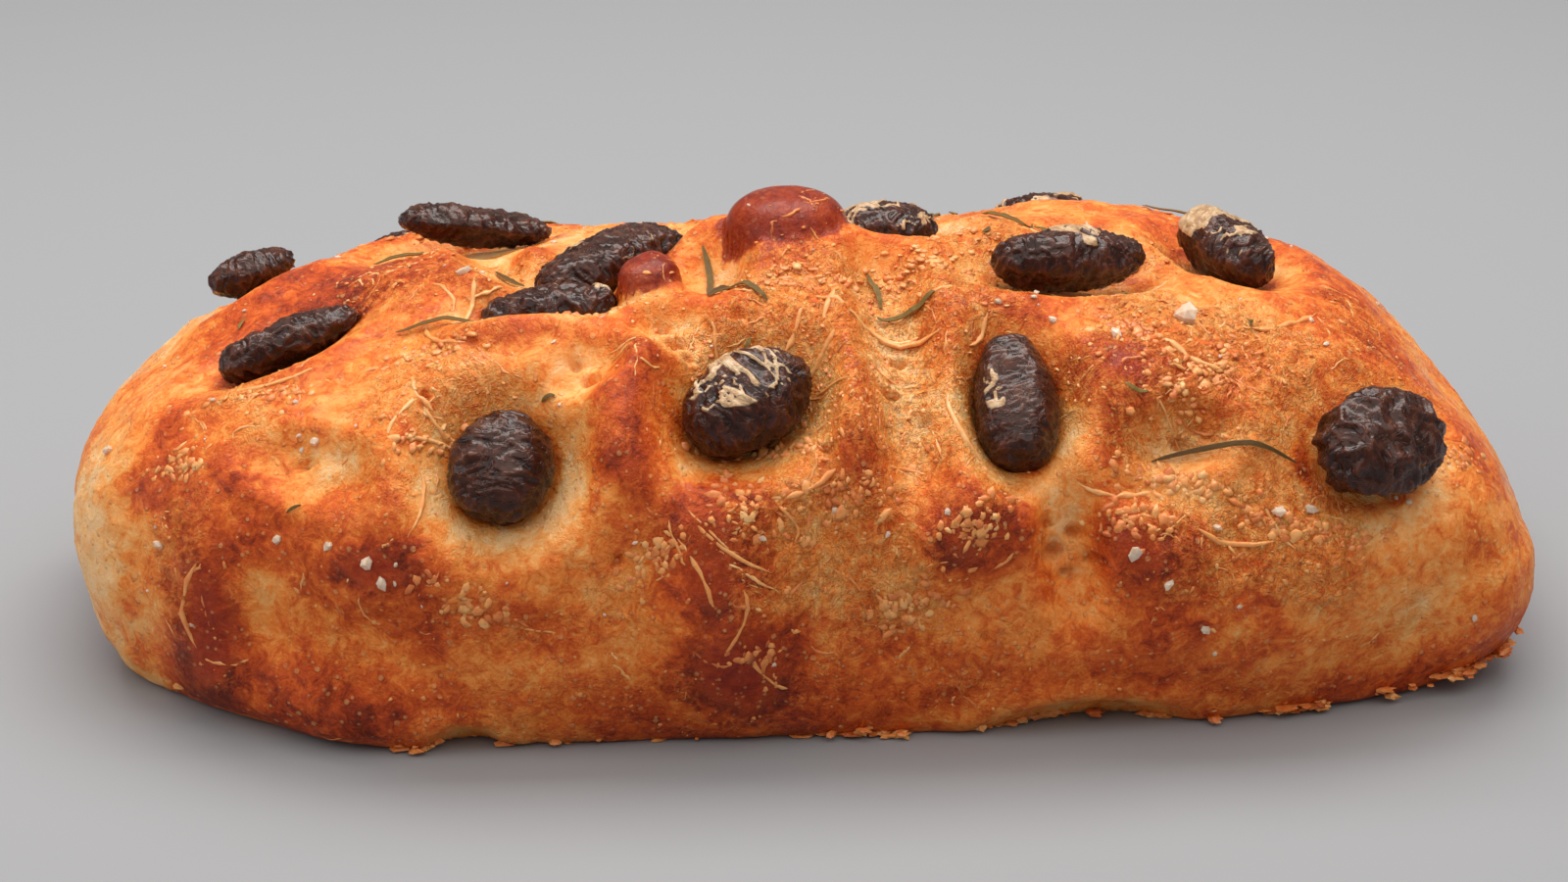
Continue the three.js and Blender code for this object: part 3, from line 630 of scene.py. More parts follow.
def outward(p: Points, faces: Points) -> Points:
    """Normals at a mesh's points: the cross products of its four-sided faces' diagonals, summed."""
    face_normals = np.cross(p[faces[:, 2]] - p[faces[:, 0]], p[faces[:, 3]] - p[faces[:, 1]])
    total = np.zeros_like(p)
    for k in range(3):
        for corner in range(4):
            total[:, k] += np.bincount(faces[:, corner], face_normals[:, k], len(p))
    return unit(total)


def add_mesh(name: str, points: Points, faces: Points, marks: dict[str, Points]) -> bpy.types.Object:
    """Makes one smooth piece from points in millimetres and from faces, and links it to the scene.

    Args:
        name: the piece's name.
        points: (n, 3) millimetres.
        faces: (m, 3) or (m, 4) point numbers, counter-clockwise seen from outside.
        marks: named numbers, one a point, that its finish reads.

    Returns:
        The object, at the origin.
    """
    mesh = bpy.data.meshes.new(name)
    mesh.from_pydata(np.asarray(points * MM, np.float32), [], np.asarray(faces, np.int32))
    mesh.polygons.foreach_set("use_smooth", np.ones(len(faces), bool))
    for mark, values in marks.items():
        mesh.attributes.new(mark, "FLOAT", "POINT").data.foreach_set("value", np.asarray(values, np.float32))
    mesh.update()
    piece = bpy.data.objects.new(name, mesh)
    bpy.context.scene.collection.objects.link(piece)
    return piece


def grid_faces(rows: int, sides: int) -> Points:
    """Faces between rings of points, each ring closed on itself.

    Args:
        rows: how many rings there are.
        sides: how many points each ring has.

    Returns:
        ((rows - 1) * sides, 4) point numbers.
    """
    row, side = np.meshgrid(np.arange(rows - 1), np.arange(sides), indexing="ij")
    nearby = (side + 1) % sides
    here, after = row * sides, (row + 1) * sides
    return np.stack([here + side, here + nearby, after + nearby, after + side], axis=-1).reshape(-1, 4)


def repeated(points: Points, faces: Points) -> tuple[Points, Points]:
    """Joins many copies of one shape into one mesh's arrays.

    Args:
        points: (copies, n, 3) millimetres.
        faces: (m, k) point numbers of one copy.

    Returns:
        (copies * n, 3) points and (copies * m, k) faces.
    """
    copies, count = points.shape[:2]
    every = faces[None] + (np.arange(copies) * count)[:, None, None]
    return points.reshape(-1, 3), every.reshape(-1, faces.shape[1])


def framed(local: Points, frames: Points, places: Points) -> Points:
    """Copies of a shape, each turned into its own frame and moved to its place.

    Args:
        local: (copies, n, 3) millimetres in each copy's own frame.
        frames: (copies, 3, 3) directions, one a row.
        places: (copies, 3) millimetres.

    Returns:
        (copies, n, 3) millimetres.
    """
    return np.einsum("nki,nij->nkj", local, frames) + places[:, None]


def show_flat_sides(piece: bpy.types.Object) -> None:
    """Shades a piece's faces flat, as crystals and crisp flakes are."""
    piece.data.polygons.foreach_set("use_smooth", np.zeros(len(piece.data.polygons), bool))


def tube_shapes(paths: Points, radii: Points, sides: int, flat: float, up: Points) -> Points:
    """Rings of points round many paths, drawn in to nothing at both ends.

    Args:
        paths: (copies, stations, 3) millimetres.
        radii: (copies, stations) millimetres.
        sides: points a ring.
        flat: the thickness as a share of the width.
        up: (copies, stations, 3) directions out of the crust.

    Returns:
        (copies, stations * sides, 3) points.
    """
    along = unit(np.gradient(paths, axis=1))
    across = unit(np.cross(up, along))
    lift = np.cross(along, across)
    angle = np.linspace(0.0, 2 * math.pi, sides, endpoint=False)
    rings = across[:, :, None] * np.cos(angle)[:, None] + lift[:, :, None] * (flat * np.sin(angle))[:, None]
    return (paths[:, :, None] + rings * radii[:, :, None, None]).reshape(len(paths), -1, 3)


@dataclass(frozen=True)
class Crust:
    """The crust: the surface of a cube drawn out to the loaf, with its relief and marks."""

    long_steps: int = 306
    wide_steps: int = 118
    wall_steps: int = 44
    foot_steps: int = 22
    base_rings: int = 5
    base_clear: float = 0.4
    front_skew: float = 0.18
    base_toast: float = 0.62
    base_wet: float = 0.2
    relief: Relief = field(default_factory=Relief)

    def share(self, steps: int, skew: float = 0.0) -> Points:
        """Cube coordinates from -1 to 1 that land evenly on the dome, closer at the front with skew."""
        power = LOAF.rise_power
        edge = 2.0 ** (-1.0 / power)
        t = np.linspace(-1.0, 1.0, steps + 1)
        t = (t + skew * (t * t - 1.0)) * edge
        return np.clip(t * (1.0 - np.abs(t) ** power) ** (-1.0 / power), -1.0, 1.0)

    def plain_mesh(self) -> tuple[Points, Points]:
        """The plain loaf's points in millimetres and its four-sided faces, the base left open."""
        u = self.share(self.long_steps)
        v = self.share(self.wide_steps, self.front_skew)
        gu, gv = np.meshgrid(u, v, indexing="ij")
        top = np.stack([gu, gv, np.ones_like(gu)], axis=-1).reshape(-1, 3)
        i, j = np.meshgrid(np.arange(self.long_steps), np.arange(self.wide_steps), indexing="ij")
        n = self.wide_steps + 1
        near, far = i * n + j, (i + 1) * n + j
        top_faces = np.stack([near, far, far + 1, near + 1], -1).reshape(-1, 4)
        front = np.stack([u[:-1], -np.ones(self.long_steps)], -1)
        right = np.stack([np.ones(self.wide_steps), v[:-1]], -1)
        back = np.stack([u[:0:-1], np.ones(self.long_steps)], -1)
        left = np.stack([-np.ones(self.wide_steps), v[:0:-1]], -1)
        rim = np.concatenate([front, right, back, left])
        upper = self.share(2 * self.wall_steps)[::-1][: self.wall_steps + 1]
        down = np.concatenate([upper, -np.linspace(0.0, 1.0, self.foot_steps + 1)[1:]])
        walls = np.concatenate(
            [np.repeat(rim[None], len(down), 0), np.repeat(down[:, None, None], len(rim), 1)], axis=-1
        ).reshape(-1, 3)
        wall_faces = grid_faces(len(down), len(rim))[:, ::-1] + len(top)
        cube = np.concatenate([top, walls])
        faces = np.concatenate([top_faces, wall_faces])
        _, first, where = np.unique(np.round(cube, 6), axis=0, return_index=True, return_inverse=True)
        return LOAF.from_cube(cube[first]), where.reshape(-1)[faces]

    def add(self) -> bpy.types.Object:
        """Builds and dresses the crust, which stands for the loaf's solid."""
        plain, faces = self.plain_mesh()
        normal = outward(plain, faces)
        fields = crust_fields(plain, self.relief)
        z = plain[:, 2]
        on_base = z < 1e-4
        p = plain + self.relief.direction(normal, z) * fields.lift[:, None]
        p[:, 2] = np.where(on_base, 0.0, np.maximum(p[:, 2], np.minimum(z, self.base_clear)))
        edge = np.flatnonzero(on_base)
        edge = edge[np.argsort(np.arctan2(p[edge, 1], p[edge, 0]))]
        middle = p[edge].mean(axis=0)
        inward = np.linspace(1.0, 0.0, self.base_rings + 1)[1:-1]
        rings = middle + (p[edge][None] - middle) * inward[:, None, None]
        count = len(p)
        added = count + np.arange(rings.shape[0] * len(edge)).reshape(-1, len(edge))
        number = np.concatenate([edge[None], added])
        here, nearby = number, np.roll(number, -1, axis=1)
        ring_faces = np.stack([here[:-1], here[1:], nearby[1:], nearby[:-1]], -1).reshape(-1, 4)
        centre = count + rings.shape[0] * len(edge)
        points = np.concatenate([p, rings.reshape(-1, 3), middle[None]])
        last = number[-1]
        hub = np.full(len(last) // 2, centre)
        fan = np.stack([last[0::2], hub, np.roll(last, -2)[0::2], last[1::2]], -1)
        all_faces = np.concatenate([faces, ring_faces, fan])
        under = {"toast": self.base_toast, "scorch": 0.0, "cheese": 0.0, "cover": 0.0, "wet": self.base_wet}
        marks = {
            name: np.concatenate([getattr(fields, name), np.full(len(points) - count, value)])
            for name, value in under.items()
        }
        piece = add_mesh("loaf_crust", points, all_faces, marks)
        piece.data.materials.append(CrustFinish().build())
        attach(piece, "root")
        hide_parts("loaf")
        return piece


@dataclass(frozen=True)
class Olive:
    """One wrinkled olive baked into its bed, some with melted cheese on top."""

    spot: OliveSpot
    rings: int = 128
    sides: int = 84
    wrinkle: float = 0.4
    crease: float = 0.22
    shrink: float = 0.16

    def plump(self) -> Points:
        """Points of a plump, slightly folded ellipsoid of half size 1, drawn in at both ends."""
        shares = np.linspace(0.004, 0.996, self.rings)
        turns = np.linspace(0, 2 * math.pi, self.sides, endpoint=False)
        share, turn = np.meshgrid(shares, turns, indexing="ij")
        tip = math.pi * share
        girth = np.sin(tip) ** self.spot.blunt
        folds = 0.05 * girth * np.sin(3 * turn + 2.2 * np.cos(tip)) + 0.035 * np.sin(5 * turn - 4 * share)
        radius = girth * (1 + folds) * (1 + 0.08 * np.cos(tip))
        return np.stack([-np.cos(tip), np.cos(turn) * radius, np.sin(turn) * radius], axis=-1).reshape(-1, 3)

    def add(self) -> bpy.types.Object:
        """Builds and dresses the olive, which stands for its solid."""
        spot = self.spot
        body = self.plump() * np.array(spot.half)
        faces = grid_faces(self.rings, self.sides)
        ends = np.array([0, self.rings - 1]) * self.sides
        tips = np.stack([body[e : e + self.sides].mean(axis=0) for e in ends])
        normal = outward(body, faces)
        warp = np.stack([noise(body, 6.0, spot.seed + 3 * k) for k in range(3)], axis=-1)
        drawn = (body + 2.2 * warp) * np.array([1.0, 0.68, 0.68])
        long_folds = ridges(drawn, spot.fold, spot.seed + 11, 2.2)
        fine_folds = ridges(drawn + 0.4 * warp, 0.55 * spot.fold, spot.seed + 13, 2.0)
        near, second, _ = cells(body + 1.5 * warp, 4.8, spot.seed + 17)
        facets = smooth(0.0, 0.4, second - near)
        dents = fractal(body, 7.0, spot.seed + 19, 2)
        height = spot.crumple * (self.wrinkle * (long_folds - 0.4) + self.crease * (fine_folds - 0.4))
        height = height - spot.facets * (facets - 0.5) + 0.45 * dents - self.shrink
        seat = LOAF.seats(spot.x, spot.girth, spot.turn)
        pitch = math.radians(spot.pitch)
        long = seat.long[0] * math.cos(pitch) + seat.normal[0] * math.sin(pitch)
        through = seat.normal[0] * math.cos(pitch) - seat.long[0] * math.sin(pitch)
        axes = np.stack([long, seat.wide[0], through])
        facing = smooth(0.4, 0.85, normal @ axes[:, 2])
        patch = smooth(-0.25, 0.2, fractal(body + 7, 7.0, spot.seed + 29, 2) + spot.cheese - 0.55)
        wide_web = ridges(body + 0.9 * warp, 5.0, spot.seed + 31, 2.2)
        web = np.maximum(wide_web, ridges(body + warp, 2.6, spot.seed + 37, 3.0))
        lace = smooth(0.52, 0.72, web) * patch * min(1.0, 6 * spot.cheese)
        along = -body[:, 0] / spot.half[0] + 0.35 * fractal(body, 4.0, spot.seed + 41, 3)
        veil = smooth(spot.veil, spot.veil + 0.25, along)
        cheese = np.maximum(lace * facing, veil * smooth(-0.2, 0.3, normal[:, 2]))
        # Lighter on the faces turned out from the crust: partly dust, partly painted sheen where the light
        # from above falls.
        dust = smooth(0.3, 0.9, normal @ axes[:, 2])
        height = height * (1.0 - 0.4 * cheese) + (0.25 + 0.25 * web) * cheese
        shaped = np.concatenate([body + normal * height[:, None], tips])
        tip = np.full(self.sides // 2, len(body))
        ring = np.arange(self.sides)
        here, between, after = ring[0::2], ring[1::2], np.roll(ring, -2)[0::2]
        start = np.stack([here, tip, after, between], -1)
        finish = np.stack([here + ends[1], between + ends[1], after + ends[1], tip + 1], -1)
        p = seat.point[0] + seat.normal[0] * spot.lift
        p = p + shaped @ axes
        # Colour mark: high on the ridges of the wrinkles and the facets' edges, which the finish paints
        # lighter as highlight, and low in the grooves, painted darker as shade.
        fold = np.clip(0.2 + 0.6 * long_folds + 0.35 * fine_folds - 0.2 * facets, 0.0, 1.0)
        marks = {"cheese": cheese, "fold": fold, "dust": dust}
        marks = {name: np.append(values, values[ends]) for name, values in marks.items()}
        piece = add_mesh(f"olive_{spot.name}_skin", p, np.concatenate([faces, start, finish]), marks)
        piece.data.materials.append(OliveFinish().build())
        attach(piece, "root")
        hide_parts(f"olive_{spot.name}")
        return piece


# Toppings that lie on the crust

@dataclass(frozen=True)
class Laid:
    """Where things lie: their frames on the plain loaf and the relief there, one row each."""

    seat: Seat
    height: Points

    def point(self, lift: Points | float = 0.0) -> Points:
        """Points on the crust, raised along the outward direction."""
        way = Relief().direction(self.seat.normal, self.seat.point[:, 2])
        surface = self.seat.point + way * self.height[:, None]
        return surface + self.seat.normal * np.broadcast_to(lift, self.height.shape)[:, None]


def lay(x: Points, girth: Points, turn: Points | float = 0.0) -> Laid:
    """Frames on the real crust at places round the loaf, those under the waist tucked in as its foot is.

    The foot's section is a quarter ellipse, so a share d of the way down it lies inward by the tuck times 1
    less the square root of 1 less d squared.
    """
    seat = LOAF.seats(x, girth, turn)
    level = unit(seat.normal * LEVEL)
    drop = np.clip((LOAF.waist - seat.point[:, 2]) / LOAF.waist, 0.0, 1.0)[:, None]
    rest = np.sqrt(1.0 - drop * drop)
    point = seat.point - level * LOAF.tuck * (1.0 - rest)
    point[:, 2] = np.maximum(point[:, 2], 0.0)
    slope = np.array([0.0, 0.0, LOAF.tuck / LOAF.waist]) * drop / np.maximum(rest, 0.2)
    normal = np.where(drop > 0, unit(level - slope), seat.normal)
    wide = unit(np.cross(normal, seat.long))
    tucked = Seat(point, normal, np.cross(wide, normal), wide)
    return Laid(tucked, crust_fields(point, Relief()).lift)


def laid_paths(middle: Points, offsets: Points, lift: Points | float, ease: int) -> tuple[Points, Points]:
    """Paths over the crust, with the hollows under them partly bridged.

    Each offset, in millimetres along and round the loaf, is turned into x and girth by the local scale.

    Args:
        middle: (n, 2) x and girth of each path's middle.
        offsets: (n, stations, 2) millimetres along and round.
        lift: how far over the crust the path runs, one number or (n, stations).
        ease: how many times the heights are averaged with their neighbours.

    Returns:
        (n, stations, 3) points and (n, stations, 3) outward directions.
    """
    x, girth = middle[:, 0], middle[:, 1]
    per_x = np.linalg.norm(LOAF.at(x + 1, girth) - LOAF.at(x - 1, girth), axis=1) / 2
    per_degree = np.linalg.norm(LOAF.at(x, girth + 1) - LOAF.at(x, girth - 1), axis=1) / 2
    path_x = np.clip(x[:, None] + offsets[..., 0] / per_x[:, None], -112.0, 112.0)
    path_girth = girth[:, None] + offsets[..., 1] / per_degree[:, None]
    laid = lay(path_x.ravel(), path_girth.ravel())
    shape = path_x.shape
    height = laid.height.reshape(shape)
    for _ in range(ease):
        padded = np.pad(height, ((0, 0), (1, 1)), mode="edge")
        height = np.maximum(height, (padded[:, :-2] + 2 * height + padded[:, 2:]) / 4)
    normal = laid.seat.normal.reshape(*shape, 3)
    point = laid.seat.point.reshape(*shape, 3)
    return point + normal * (height + lift)[..., None], normal


@dataclass(frozen=True)
class Strip:
    """A needle or strand laid on the crust: its middle, length, thickness, turn and bend in degrees."""

    x: float
    girth: float
    length: float
    thick: float
    turn: float
    bend: float

    @staticmethod
    def offsets(strips: Points, stations: int) -> Points:
        """Millimetres along and round of each station of bent strips.

        Args:
            strips: (n, 6) fields of the strips in their order.
            stations: points a path.

        Returns:
            (n, stations, 2) millimetres.
        """
        share = np.linspace(-0.5, 0.5, stations)
        length, turn, bend = strips[:, 2:3], np.radians(strips[:, 4:5]), np.radians(strips[:, 5:6])
        along = length * share * np.cos(bend * np.abs(share))
        aside = length * (share * share - 0.08) * np.sin(bend)
        c, s = np.cos(turn), np.sin(turn)
        return np.stack([along * c - aside * s, along * s + aside * c], -1)


NEEDLES = (
    Strip(63, 28.5, 23, 1.2, -3, -24), Strip(-55, 65, 16, 1.2, 4, 10), Strip(-46, 92, 10, 1.2, -62, 8),
    Strip(-14, 83, 12, 1.52, 90, 14), Strip(-12, 68, 9, 1.76, 60, 20), Strip(16, 62, 9, 1.44, 4, 20),
    Strip(12, 72, 8, 1.28, 100, 12), Strip(35, 103, 11, 1.44, -50, 30), Strip(-62, 104, 10, 1.2, 8, 12),
    Strip(-6, 128, 14, 1.2, 30, 20), Strip(70, 128, 15, 1.2, -20, 16), Strip(-8, 66, 8, 1.36, 130, 12),
    Strip(40, 67, 6, 1.04, 70, 20), Strip(41, 96, 7, 1.12, 100, 24), Strip(-38, 150, 12, 1.28, 60, 20),
    Strip(88, 150, 11, 1.2, -30, 24), Strip(28, 166, 13, 1.28, 10, 18), Strip(-84, 142, 9, 1.12, 80, 16),
)
STRANDS = (
    Strip(-93, 2, 15, 1.02, 82, -34), Strip(-13, 15, 13, 0.6, -36, 12), Strip(-18, 12, 12, 0.6, -58, -14),
    Strip(-56, 60, 13, 0.95, -48, 40), Strip(-54, 38, 12, 0.95, -20, 44), Strip(10, 58, 22, 0.95, -24, 20),
    Strip(22, 34, 14, 0.88, -70, 30), Strip(58, 46, 13, 1.02, -34, 30), Strip(62, 14, 14, 1.02, -14, 30),
    Strip(45, 22, 12, 1.16, -6, 24), Strip(-82, 52, 18, 0.88, 14, 10), Strip(-2, 24, 12, 0.95, 20, 30),
    Strip(78, 58, 13, 0.95, 30, 20), Strip(30, 132, 15, 0.95, -30, 24), Strip(-78, 128, 14, 0.95, 24, 24),
    Strip(-59, 24, 12, 0.75, 84, 30), Strip(-61, 40, 10, 0.68, 60, -40), Strip(-88, -8, 9, 0.82, 6, 20),
    Strip(-12, 4, 12, 0.6, 70, 30), Strip(-8, -6, 10, 0.65, -50, 40), Strip(-52, 71, 11, 0.8, 60, 30),
    Strip(-16, 18, 9, 0.5, -44, 8), Strip(-10, 11, 10, 0.5, -30, -10), Strip(-21, 16, 8, 0.5, -66, 12),
    Strip(-55, 76, 9, 0.95, 115, 20), Strip(-50, 68, 8, 0.9, 80, -30), Strip(-49, 76, 7, 0.85, 35, 10),
    Strip(-59, 45, 9, 0.9, -70, 25), Strip(-57, 36, 8, 0.9, 5, -25), Strip(-2, 56, 8, 0.85, 60, 20),
    Strip(4, 60, 10, 0.95, 75, -20), Strip(12, 57, 12, 0.9, -10, 16), Strip(-14, 54, 7, 0.75, 100, 10),
    Strip(2, 50, 8, 0.8, 40, 20), Strip(20, 63, 12, 0.9, 14, -16), Strip(27, 55, 8, 0.8, 60, 20),
)
# Grains of salt seen on the loaf: x, girth, size
SALT = (
    (59, 56, 4.4), (47, 50, 2.6), (-66, 14, 2.8), (-64, 11, 2.2), (47, 13, 2.8), (70, 18, 2.6),
    (76, 18, 2.6), (-52, 80, 2.8), (-75, 36, 2.0), (-107, 40, 2.2), (52, 8, 2.2), (60, 16, 2.0),
    (58, 0, 2.0), (95, 22, 1.8),
    (-72, 16, 1.8), (-80, 16, 1.8), (-98, 12, 2.0), (36, 62, 1.6), (30, 60, 1.4), (38, 55, 1.6),
)


@dataclass(frozen=True)
class CheeseStrands:
    """Shreds of baked cheese, as thin uneven tubes that sag into the crust's hollows."""

    count: int = 560
    stations: int = 9
    sides: int = 6
    length: tuple[float, float] = (2.5, 9.0)
    thick: tuple[float, float] = (0.22, 0.55)
    seed: int = 7

    def scattered(self, draw: np.random.Generator) -> Points:
        """Fields of seeded strands, kept where a draw is under the cheese's strength."""
        many = self.count * 9
        x = draw.uniform(-106, 106, many)
        girth = draw.uniform(-16, 196, many)
        cover = CHEESY.strength(LOAF.at(x, girth))
        kept = np.flatnonzero(draw.uniform(0, 1.05, many) < cover)[: self.count]
        length = draw.uniform(*self.length, len(kept)) * draw.uniform(0.6, 1.0, len(kept))
        thick = draw.uniform(*self.thick, len(kept))
        turn = draw.uniform(0, 360, len(kept))
        bend = draw.normal(0, 32, len(kept))
        return np.stack([x[kept], girth[kept], length, thick, turn, bend], axis=-1)

    def add(self) -> bpy.types.Object:
        """Builds and dresses all the strands as one piece."""
        draw = np.random.default_rng(self.seed)
        own = np.array([astuple(strip) for strip in STRANDS])
        strips = np.concatenate([own, self.scattered(draw)])
        offsets = Strip.offsets(strips, self.stations)
        wander = np.cumsum(draw.normal(0, 0.16, offsets.shape), axis=1)
        paths, normal = laid_paths(strips[:, :2], offsets + wander - wander.mean(1, keepdims=True), -0.1, 1)
        share = np.linspace(0.0, 1.0, self.stations)
        body = np.sqrt(np.clip(1.0 - (2 * share - 1) ** 4, 0.0, 1.0))
        lumps = 1.0 + 0.38 * np.clip(draw.normal(0, 1, paths.shape[:2]), -1.5, 1.5)
        radii = strips[:, 3:4] / 2 * (0.08 + 0.92 * body) * lumps
        points = tube_shapes(paths, radii, self.sides, 0.7, normal)
        ring = grid_faces(self.stations, self.sides)
        every, faces = repeated(points, ring[:, ::-1])
        tone = draw.uniform(0.2, 1, len(strips))
        tone[: len(own)] = 0.1 + 0.4 * tone[: len(own)]
        tone = tone + 0.4 * SCORCHED.strength(LOAF.at(strips[:, 0], strips[:, 1]))
        tone = np.repeat(tone, self.stations * self.sides)
        piece = add_mesh("cheese_strands", every, faces, {"tone": tone})
        piece.data.materials.append(CheeseFinish().build())
        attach(piece, "root")
        return piece


def blob(sides: int, rings: int) -> tuple[Points, Points]:
    """A small closed ball: its points and its three-sided faces."""
    polar = np.linspace(0, math.pi, rings + 2)[1:-1]
    turn = np.linspace(0, 2 * math.pi, sides, endpoint=False)
    a, b = np.meshgrid(polar, turn, indexing="ij")
    points = np.stack([np.sin(a) * np.cos(b), np.sin(a) * np.sin(b), np.cos(a)], -1).reshape(-1, 3)
    points = np.concatenate([points, [[0, 0, 1], [0, 0, -1]]])
    quads = grid_faces(rings, sides)
    ring = np.arange(sides)
    top = np.stack([np.full(sides, len(points) - 2), ring, np.roll(ring, -1)], -1)
    low = (rings - 1) * sides
    bottom = np.stack([np.full(sides, len(points) - 1), low + np.roll(ring, -1), low + ring], -1)
    return points, np.concatenate([quads[:, [0, 2, 1]], quads[:, [0, 3, 2]], top, bottom])


# Clumps of melted cheese: their place, half sizes in millimetres, how many lumps each has, and their turn
CLUMPS = (
    Place(56, 23, 9, 2.2, 90, -12), Place(72, 15, 9, 1.8, 80, -18), Place(84, 12, 5, 1.2, 30, 6),
    Place(47, 18, 6, 3, 60), Place(60, 42, 12, 4, 90, 30), Place(50, 52, 8, 5, 60, -40),
    Place(-25, 14, 5, 3, 60, 30), Place(-12, 22, 7, 4, 50, -40), Place(14, 4, 6, 5, 80),
    Place(23, 18, 4, 3, 50), Place(4, 22, 8, 5, 70, 20), Place(-5, 32, 12, 2, 60, -10),
    Place(-10, -2, 5, 2, 30), Place(-52, 8, 7, 3, 50, -30), Place(-58, 56, 8, 3, 50, 10),
    Place(-84, 48, 9, 2, 50, 10), Place(-58, 36, 5, 4, 40), Place(-95, 30, 5, 4, 40),
    Place(104, 26, 4, 4, 40), Place(20, 76, 10, 6, 90, 20), Place(2, 70, 9, 4, 70), Place(-30, 62, 8, 3, 40),
    Place(36, 86, 10, 4, 60), Place(0, 132, 20, 8, 90, 10), Place(70, 140, 14, 8, 70),
    Place(-60, 134, 14, 6, 60), Place(-20, 172, 16, 8, 70, 20), Place(90, 168, 10, 8, 50),
)


@dataclass(frozen=True)
class CheeseGrains:
    """Small baked lumps of cheese and crumbs over the crust, loose and in clumps."""

    count: int = 3000
    size: tuple[float, float] = (0.2, 0.65)
    clump_size: tuple[float, float] = (0.4, 1.15)
    seed: int = 19

    def add(self) -> bpy.types.Object:
        """Builds and dresses all the lumps as one piece."""
        draw = np.random.default_rng(self.seed)
        many = self.count * 8
        x = draw.uniform(-112, 112, many)
        girth = draw.uniform(-22, 202, many)
        cover = CHEESY.strength(LOAF.at(x, girth)) + 0.05
        kept = np.flatnonzero(draw.uniform(0, 1, many) < cover)[: self.count]
        rows = np.array([astuple(clump) for clump in CLUMPS], float)
        rows = np.repeat(rows, rows[:, 4].astype(int), axis=0)
        off = draw.normal(0, 0.55, (len(rows), 2)) * rows[:, 2:4]
        c, s = np.cos(np.radians(rows[:, 5])), np.sin(np.radians(rows[:, 5]))
        x = np.concatenate([x[kept], rows[:, 0] + off[:, 0] * c - off[:, 1] * s])
        girth = np.concatenate([girth[kept], rows[:, 1] + off[:, 0] * s + off[:, 1] * c])
        total = len(x)
        laid = lay(x, girth, draw.uniform(0, 360, total))
        ball, faces = blob(6, 3)
        size = draw.uniform(0, 1, (total, 1)) ** 2.2 * (self.size[1] - self.size[0]) + self.size[0]
        size[len(kept) :, 0] = draw.uniform(*self.clump_size, total - len(kept))
        sizes = size[..., None] * draw.uniform(0.5, 1.3, (total, 1, 3)) * np.array([1.15, 0.85, 0.38])
        bumps = 1 + 0.18 * draw.normal(0, 1, (total, len(ball), 1)).clip(-1.5, 1.5)
        local = ball[None] * sizes * bumps
        frames = np.stack([laid.seat.long, laid.seat.wide, laid.seat.normal], axis=1)
        points = framed(local, frames, laid.point(-0.2 * size[:, 0]))
        points[..., 2] = np.maximum(points[..., 2], 0.3)
        every, all_faces = repeated(points, faces)
        tone = draw.uniform(0.25, 1, total) + 0.4 * SCORCHED.strength(LOAF.at(x, girth))
        tone = np.repeat(tone, len(ball))
        piece = add_mesh("cheese_grains", every, all_faces, {"tone": tone})
        piece.data.materials.append(CheeseFinish().build())
        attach(piece, "root")
        return piece


@dataclass(frozen=True)
class SaltGrains:
    """Coarse salt: cloudy crystals with flat sides, the placed ones and a seeded scatter."""

    count: int = 90
    size: tuple[float, float] = (0.5, 1.5)
    seed: int = 11

    def add(self) -> bpy.types.Object:
        """Builds and dresses all the crystals as one piece."""
        draw = np.random.default_rng(self.seed)
        placed = np.array(SALT)
        x = np.concatenate([placed[:, 0], draw.uniform(-104, 104, self.count)])
        girth = np.concatenate([placed[:, 1], draw.uniform(-12, 188, self.count)])
        size = np.concatenate([placed[:, 2], draw.uniform(*self.size, self.count)]) / 2
        laid = lay(x, girth, draw.uniform(0, 360, len(x)))
        block, faces = blob(6, 2)
        across, through = draw.uniform(0.55, 0.85, len(x)), draw.uniform(0.4, 0.7, len(x))
        shape = np.stack([np.ones(len(x)), across, through], -1)
        rough = 1 + 0.22 * draw.normal(0, 1, (len(x), len(block), 3)).clip(-1.5, 1.5)
        local = block[None] * rough * (shape * size[:, None])[:, None]
        tilt = draw.normal(0, 0.25, (len(x), 2))
        normal = unit(laid.seat.normal + laid.seat.long * tilt[:, :1] + laid.seat.wide * tilt[:, 1:])
        wide = unit(np.cross(normal, laid.seat.long))
        frames = np.stack([np.cross(wide, normal), wide, normal], axis=1)
        points = framed(local, frames, laid.point(0.12 * size))
        every, all_faces = repeated(points, faces)
        piece = add_mesh("salt_grains", every, all_faces, {})
        show_flat_sides(piece)
        piece.data.materials.append(SaltFinish().build())
        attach(piece, "root")
        return piece


